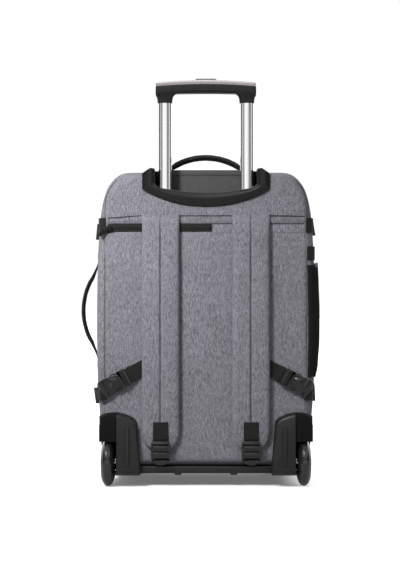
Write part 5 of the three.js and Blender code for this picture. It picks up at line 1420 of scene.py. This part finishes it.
def build_floor():
    """A sheet of paper that shines towards the camera, but is darker under the bag, where a painted shadow
    dims its glow.
    """
    deselect()
    bpy.ops.mesh.primitive_plane_add(size=24, location=(0, 0, 0))
    floor = named("floor")
    f = Finish("floor_paper")
    place = f.place()
    shade = f.grain(place, (900, 900, 900), 1)
    x, y, _ = f.parts(place)
    # Painted shadow: near the bag's footprint the paper's glow drops, where its contact shadow falls
    away = (x.math("ABSOLUTE") - 0.16).math("MAXIMUM", y.math("ABSOLUTE") - 0.09).eased(-0.03, 0.06)
    seen = f.node("LightPath", output="Is Camera Ray")
    glow_with_painted_shadow = f.mixed(seen, f.mixed(away, (0.03, 0.03, 0.03), (0.26, 0.26, 0.26)),
                      f.mixed(away, (0.13, 0.13, 0.13), (0.94, 0.94, 0.94)))
    paper = f.mixed(shade, (0.86, 0.86, 0.86), (0.9, 0.9, 0.9))
    f.done(base_color=f.mixed(seen, (0.3, 0.3, 0.3), paper), roughness=0.9,
           emission_color=glow_with_painted_shadow, emission_strength=1.0, specular_ior_level=0.1)
    floor.data.materials.append(FINISHES["floor_paper"])


def build_world():
    """White to the camera. To the bag it is a dim room with soft boxes, which the metal and plastic show."""
    world = bpy.data.worlds.new("studio")
    bpy.context.scene.world = world
    sky = Finish("studio", world)
    x, y, z = sky.parts(sky.node("TexCoord", output="Generated"))
    facing = (0 - y).eased(0, 0.1)
    level = z.math("ABSOLUTE").eased(0.3, 0.2) * facing
    softbox = x.eased(-0.4, -0.28) * x.eased(0.2, 0.1) * level
    right = x.eased(0.1, 0.2) * x.eased(0.88, 0.8) * level
    strip = x.eased(0.5, 0.58) * x.eased(0.88, 0.8) * level
    left = x.eased(-0.38, -0.45) * x.eased(-0.94, -0.86) * level
    ends = x.math("ABSOLUTE").eased(0.88, 0.96)
    above = z.eased(0.35, 0.5) * z.eased(0.92, 0.8)
    behind = y.eased(0.25, 0.7)
    glow = (0.16 + softbox * 1.05 + right * 0.3 + strip * 0.5 + left * 0.3 - ends * 0.12 + above * 0.75
            + behind * 1.3)
    window = (x + 0.29).math("ABSOLUTE").eased(0.11, 0.08) * facing
    window = window * (z - 0.74).math("ABSOLUTE").eased(0.11, 0.08)
    seen = sky.node("LightPath", output="Is Camera Ray")
    soft = sky.node("LightPath", output="Is Diffuse Ray")
    strength = (glow * (1 - soft * 0.55) + window * (1 - soft) * 13) * (1 - seen) + seen * 1.05
    lit = sky.node("Background", None, {"Color": (1, 1, 1, 1), "Strength": strength})
    sky.tree.links.new(lit.socket, sky.tree.nodes.new("ShaderNodeOutputWorld").inputs[0])


def placed(name, data, place):
    """A lamp's or camera's object."""
    made = bpy.data.objects.new(name, data)
    bpy.context.scene.collection.objects.link(made)
    made.location = place
    return made


def build_stage():
    """The floor, the world, three lamps and the camera."""
    build_floor()
    build_world()
    for name, energy, size, spread, place, aim in (
            ("key", 2.5, 0.18, 66, (-0.58, BACK_Y - 0.86, 0.98), (-0.12, 0, 0.35)),
            ("fill", 0.25, 1.2, 180, (1.3, BACK_Y - 1.6, 0.9), (0, 0, 0.28)),
            ("top", 1.6, 0.9, 180, (-0.1, -0.5, 1.9), (0, 0, 0.28))):
        lamp = bpy.data.lights.new(name, "AREA")
        lamp.energy, lamp.size, lamp.spread = energy, size, math.radians(spread)
        lamp_object = placed(name, lamp, place)
        lamp_object.visible_glossy = name != "key"
        lamp_object.rotation_euler = (Vector(aim) - Vector(place)).to_track_quat("-Z", "Y").to_euler()

    camera = bpy.data.cameras.new("camera")
    camera.lens, camera.sensor_width, camera.sensor_fit = 91.6, 36, "AUTO"
    camera.clip_start, camera.clip_end = 0.05, 60
    camera_object = placed("camera", camera, (MID_X - 0.0098, BACK_Y - 2.4, 0.333))
    camera_object.rotation_euler = (math.pi / 2, 0, 0)
    bpy.context.scene.camera = camera_object
    bpy.context.scene.view_settings.view_transform = "Standard"


# ---------------------------------------------------------------- the panel and its operators

class BackpackSizes(bpy.types.PropertyGroup):
    cloth_relief: FloatProperty(name="Cloth relief", description="How far the cloth swells and sags",
                                default=0.0011, min=0, max=0.004, unit="LENGTH")


class BackpackColours(bpy.types.PropertyGroup):
    cloth: FloatVectorProperty(name="Cloth", description="Mean colour of the heather cloth", subtype="COLOR",
                               default=(0.172, 0.17, 0.193))
    webbing: FloatVectorProperty(name="Webbing", description="Straps, bands and handles", subtype="COLOR",
                                 default=(0.012, 0.012, 0.0115))
    recess: FloatVectorProperty(name="Recess", description="Cloth behind the pull handle", subtype="COLOR",
                                default=(0.07, 0.07, 0.07))
    zip: FloatVectorProperty(name="Zip", description="Coated zip tape", subtype="COLOR",
                             default=(0.016, 0.016, 0.015))
    plastic: FloatVectorProperty(name="Plastic", description="Collar, housings, buckles and base",
                                 subtype="COLOR", default=(0.009, 0.009, 0.0092))
    wheel: FloatVectorProperty(name="Wheel", description="Tread of the wheels", subtype="COLOR",
                               default=(0.012, 0.012, 0.012))
    metal: FloatVectorProperty(name="Metal", description="Tubes and grip cover", subtype="COLOR",
                               default=(0.86, 0.86, 0.87))


class BackpackFinishes(bpy.types.Operator):
    """Make the materials"""
    bl_idname = "backpack.finishes"
    bl_label = "Finishes"

    def execute(self, context):
        make_finishes(context.scene.backpack_colours)
        return {"FINISHED"}


class BackpackStage(bpy.types.Operator):
    """Set the floor, the light and the camera"""
    bl_idname = "backpack.stage"
    bl_label = "Stage"

    def execute(self, context):
        build_stage()
        return {"FINISHED"}


class BackpackBody(bpy.types.Operator):
    """Build the cloth body and its domed front"""
    bl_idname = "backpack.body"
    bl_label = "Body"

    def execute(self, context):
        build_body(context.scene.backpack_sizes)
        return {"FINISHED"}


class BackpackPanels(bpy.types.Operator):
    """Build the cloth panels of the back"""
    bl_idname = "backpack.panels"
    bl_label = "Back Panels"

    def execute(self, context):
        build_panels(context.scene.backpack_sizes)
        return {"FINISHED"}


class BackpackSeams(bpy.types.Operator):
    """Stitch the cloth of the back"""
    bl_idname = "backpack.seams"
    bl_label = "Seams"

    def execute(self, context):
        build_seams()
        return {"FINISHED"}


class BackpackZips(bpy.types.Operator):
    """Build the zips and their sliders"""
    bl_idname = "backpack.zips"
    bl_label = "Zips"

    def execute(self, context):
        build_zips()
        return {"FINISHED"}


class BackpackCollar(bpy.types.Operator):
    """Build the collar and the recess behind it"""
    bl_idname = "backpack.collar"
    bl_label = "Collar"

    def execute(self, context):
        build_collar()
        return {"FINISHED"}


class BackpackPullHandle(bpy.types.Operator):
    """Build the tubes, the grip and its button"""
    bl_idname = "backpack.pull_handle"
    bl_label = "Pull Handle"

    def execute(self, context):
        build_pull_handle()
        return {"FINISHED"}


class BackpackCarryHandles(bpy.types.Operator):
    """Build the two soft carrying handles"""
    bl_idname = "backpack.carry_handles"
    bl_label = "Carry Handles"

    def execute(self, context):
        build_carry_handles()
        return {"FINISHED"}


class BackpackStraps(bpy.types.Operator):
    """Build the padded straps and their ladder locks"""
    bl_idname = "backpack.straps"
    bl_label = "Shoulder Straps"

    def execute(self, context):
        build_straps()
        return {"FINISHED"}


class BackpackBuckles(bpy.types.Operator):
    """Build the side webbing, its buckles and glides"""
    bl_idname = "backpack.buckles"
    bl_label = "Buckles"

    def execute(self, context):
        build_buckles()
        return {"FINISHED"}


class BackpackPocket(bpy.types.Operator):
    """Build the open pocket on the right side"""
    bl_idname = "backpack.pocket"
    bl_label = "Side Pocket"

    def execute(self, context):
        build_pocket(context.scene.backpack_sizes)
        return {"FINISHED"}


class BackpackWheels(bpy.types.Operator):
    """Build the wheels and their housings"""
    bl_idname = "backpack.wheels"
    bl_label = "Wheels"

    def execute(self, context):
        build_wheels()
        return {"FINISHED"}


class BackpackBase(bpy.types.Operator):
    """Build the base and its feet"""
    bl_idname = "backpack.base"
    bl_label = "Base"

    def execute(self, context):
        build_base()
        return {"FINISHED"}


OPERATORS = (
    BackpackFinishes, BackpackStage, BackpackBody, BackpackPanels, BackpackSeams, BackpackZips,
    BackpackCollar, BackpackPullHandle, BackpackCarryHandles, BackpackStraps, BackpackBuckles,
    BackpackPocket, BackpackWheels, BackpackBase,
)


class BackpackPanel(bpy.types.Panel):
    """Sizes, colours and steps of the backpack"""
    bl_idname = "VIEW3D_PT_backpack"
    bl_label = "Backpack"
    bl_space_type = "VIEW_3D"
    bl_region_type = "UI"
    bl_category = "Backpack"

    def draw(self, context):
        for group in (context.scene.backpack_sizes, context.scene.backpack_colours):
            box = self.layout.box()
            for key in group.bl_rna.properties.keys():
                if key not in ("rna_type", "name"):
                    box.prop(group, key)
        for operator in OPERATORS:
            self.layout.operator(operator.bl_idname)


CLASSES = (BackpackSizes, BackpackColours, *OPERATORS, BackpackPanel)


def register():
    """Adds the classes and the scene's two groups of properties."""
    for cls in CLASSES:
        bpy.utils.register_class(cls)
    bpy.types.Scene.backpack_sizes = PointerProperty(type=BackpackSizes)
    bpy.types.Scene.backpack_colours = PointerProperty(type=BackpackColours)


def unregister():
    """Takes them away again."""
    del bpy.types.Scene.backpack_colours
    del bpy.types.Scene.backpack_sizes
    for cls in reversed(CLASSES):
        bpy.utils.unregister_class(cls)


def main():
    """Builds everything in order."""
    register()
    for operator in OPERATORS:
        group, name = operator.bl_idname.split(".")
        getattr(getattr(bpy.ops, group), name)()
    deselect()


if __name__ == "__main__":
    main()
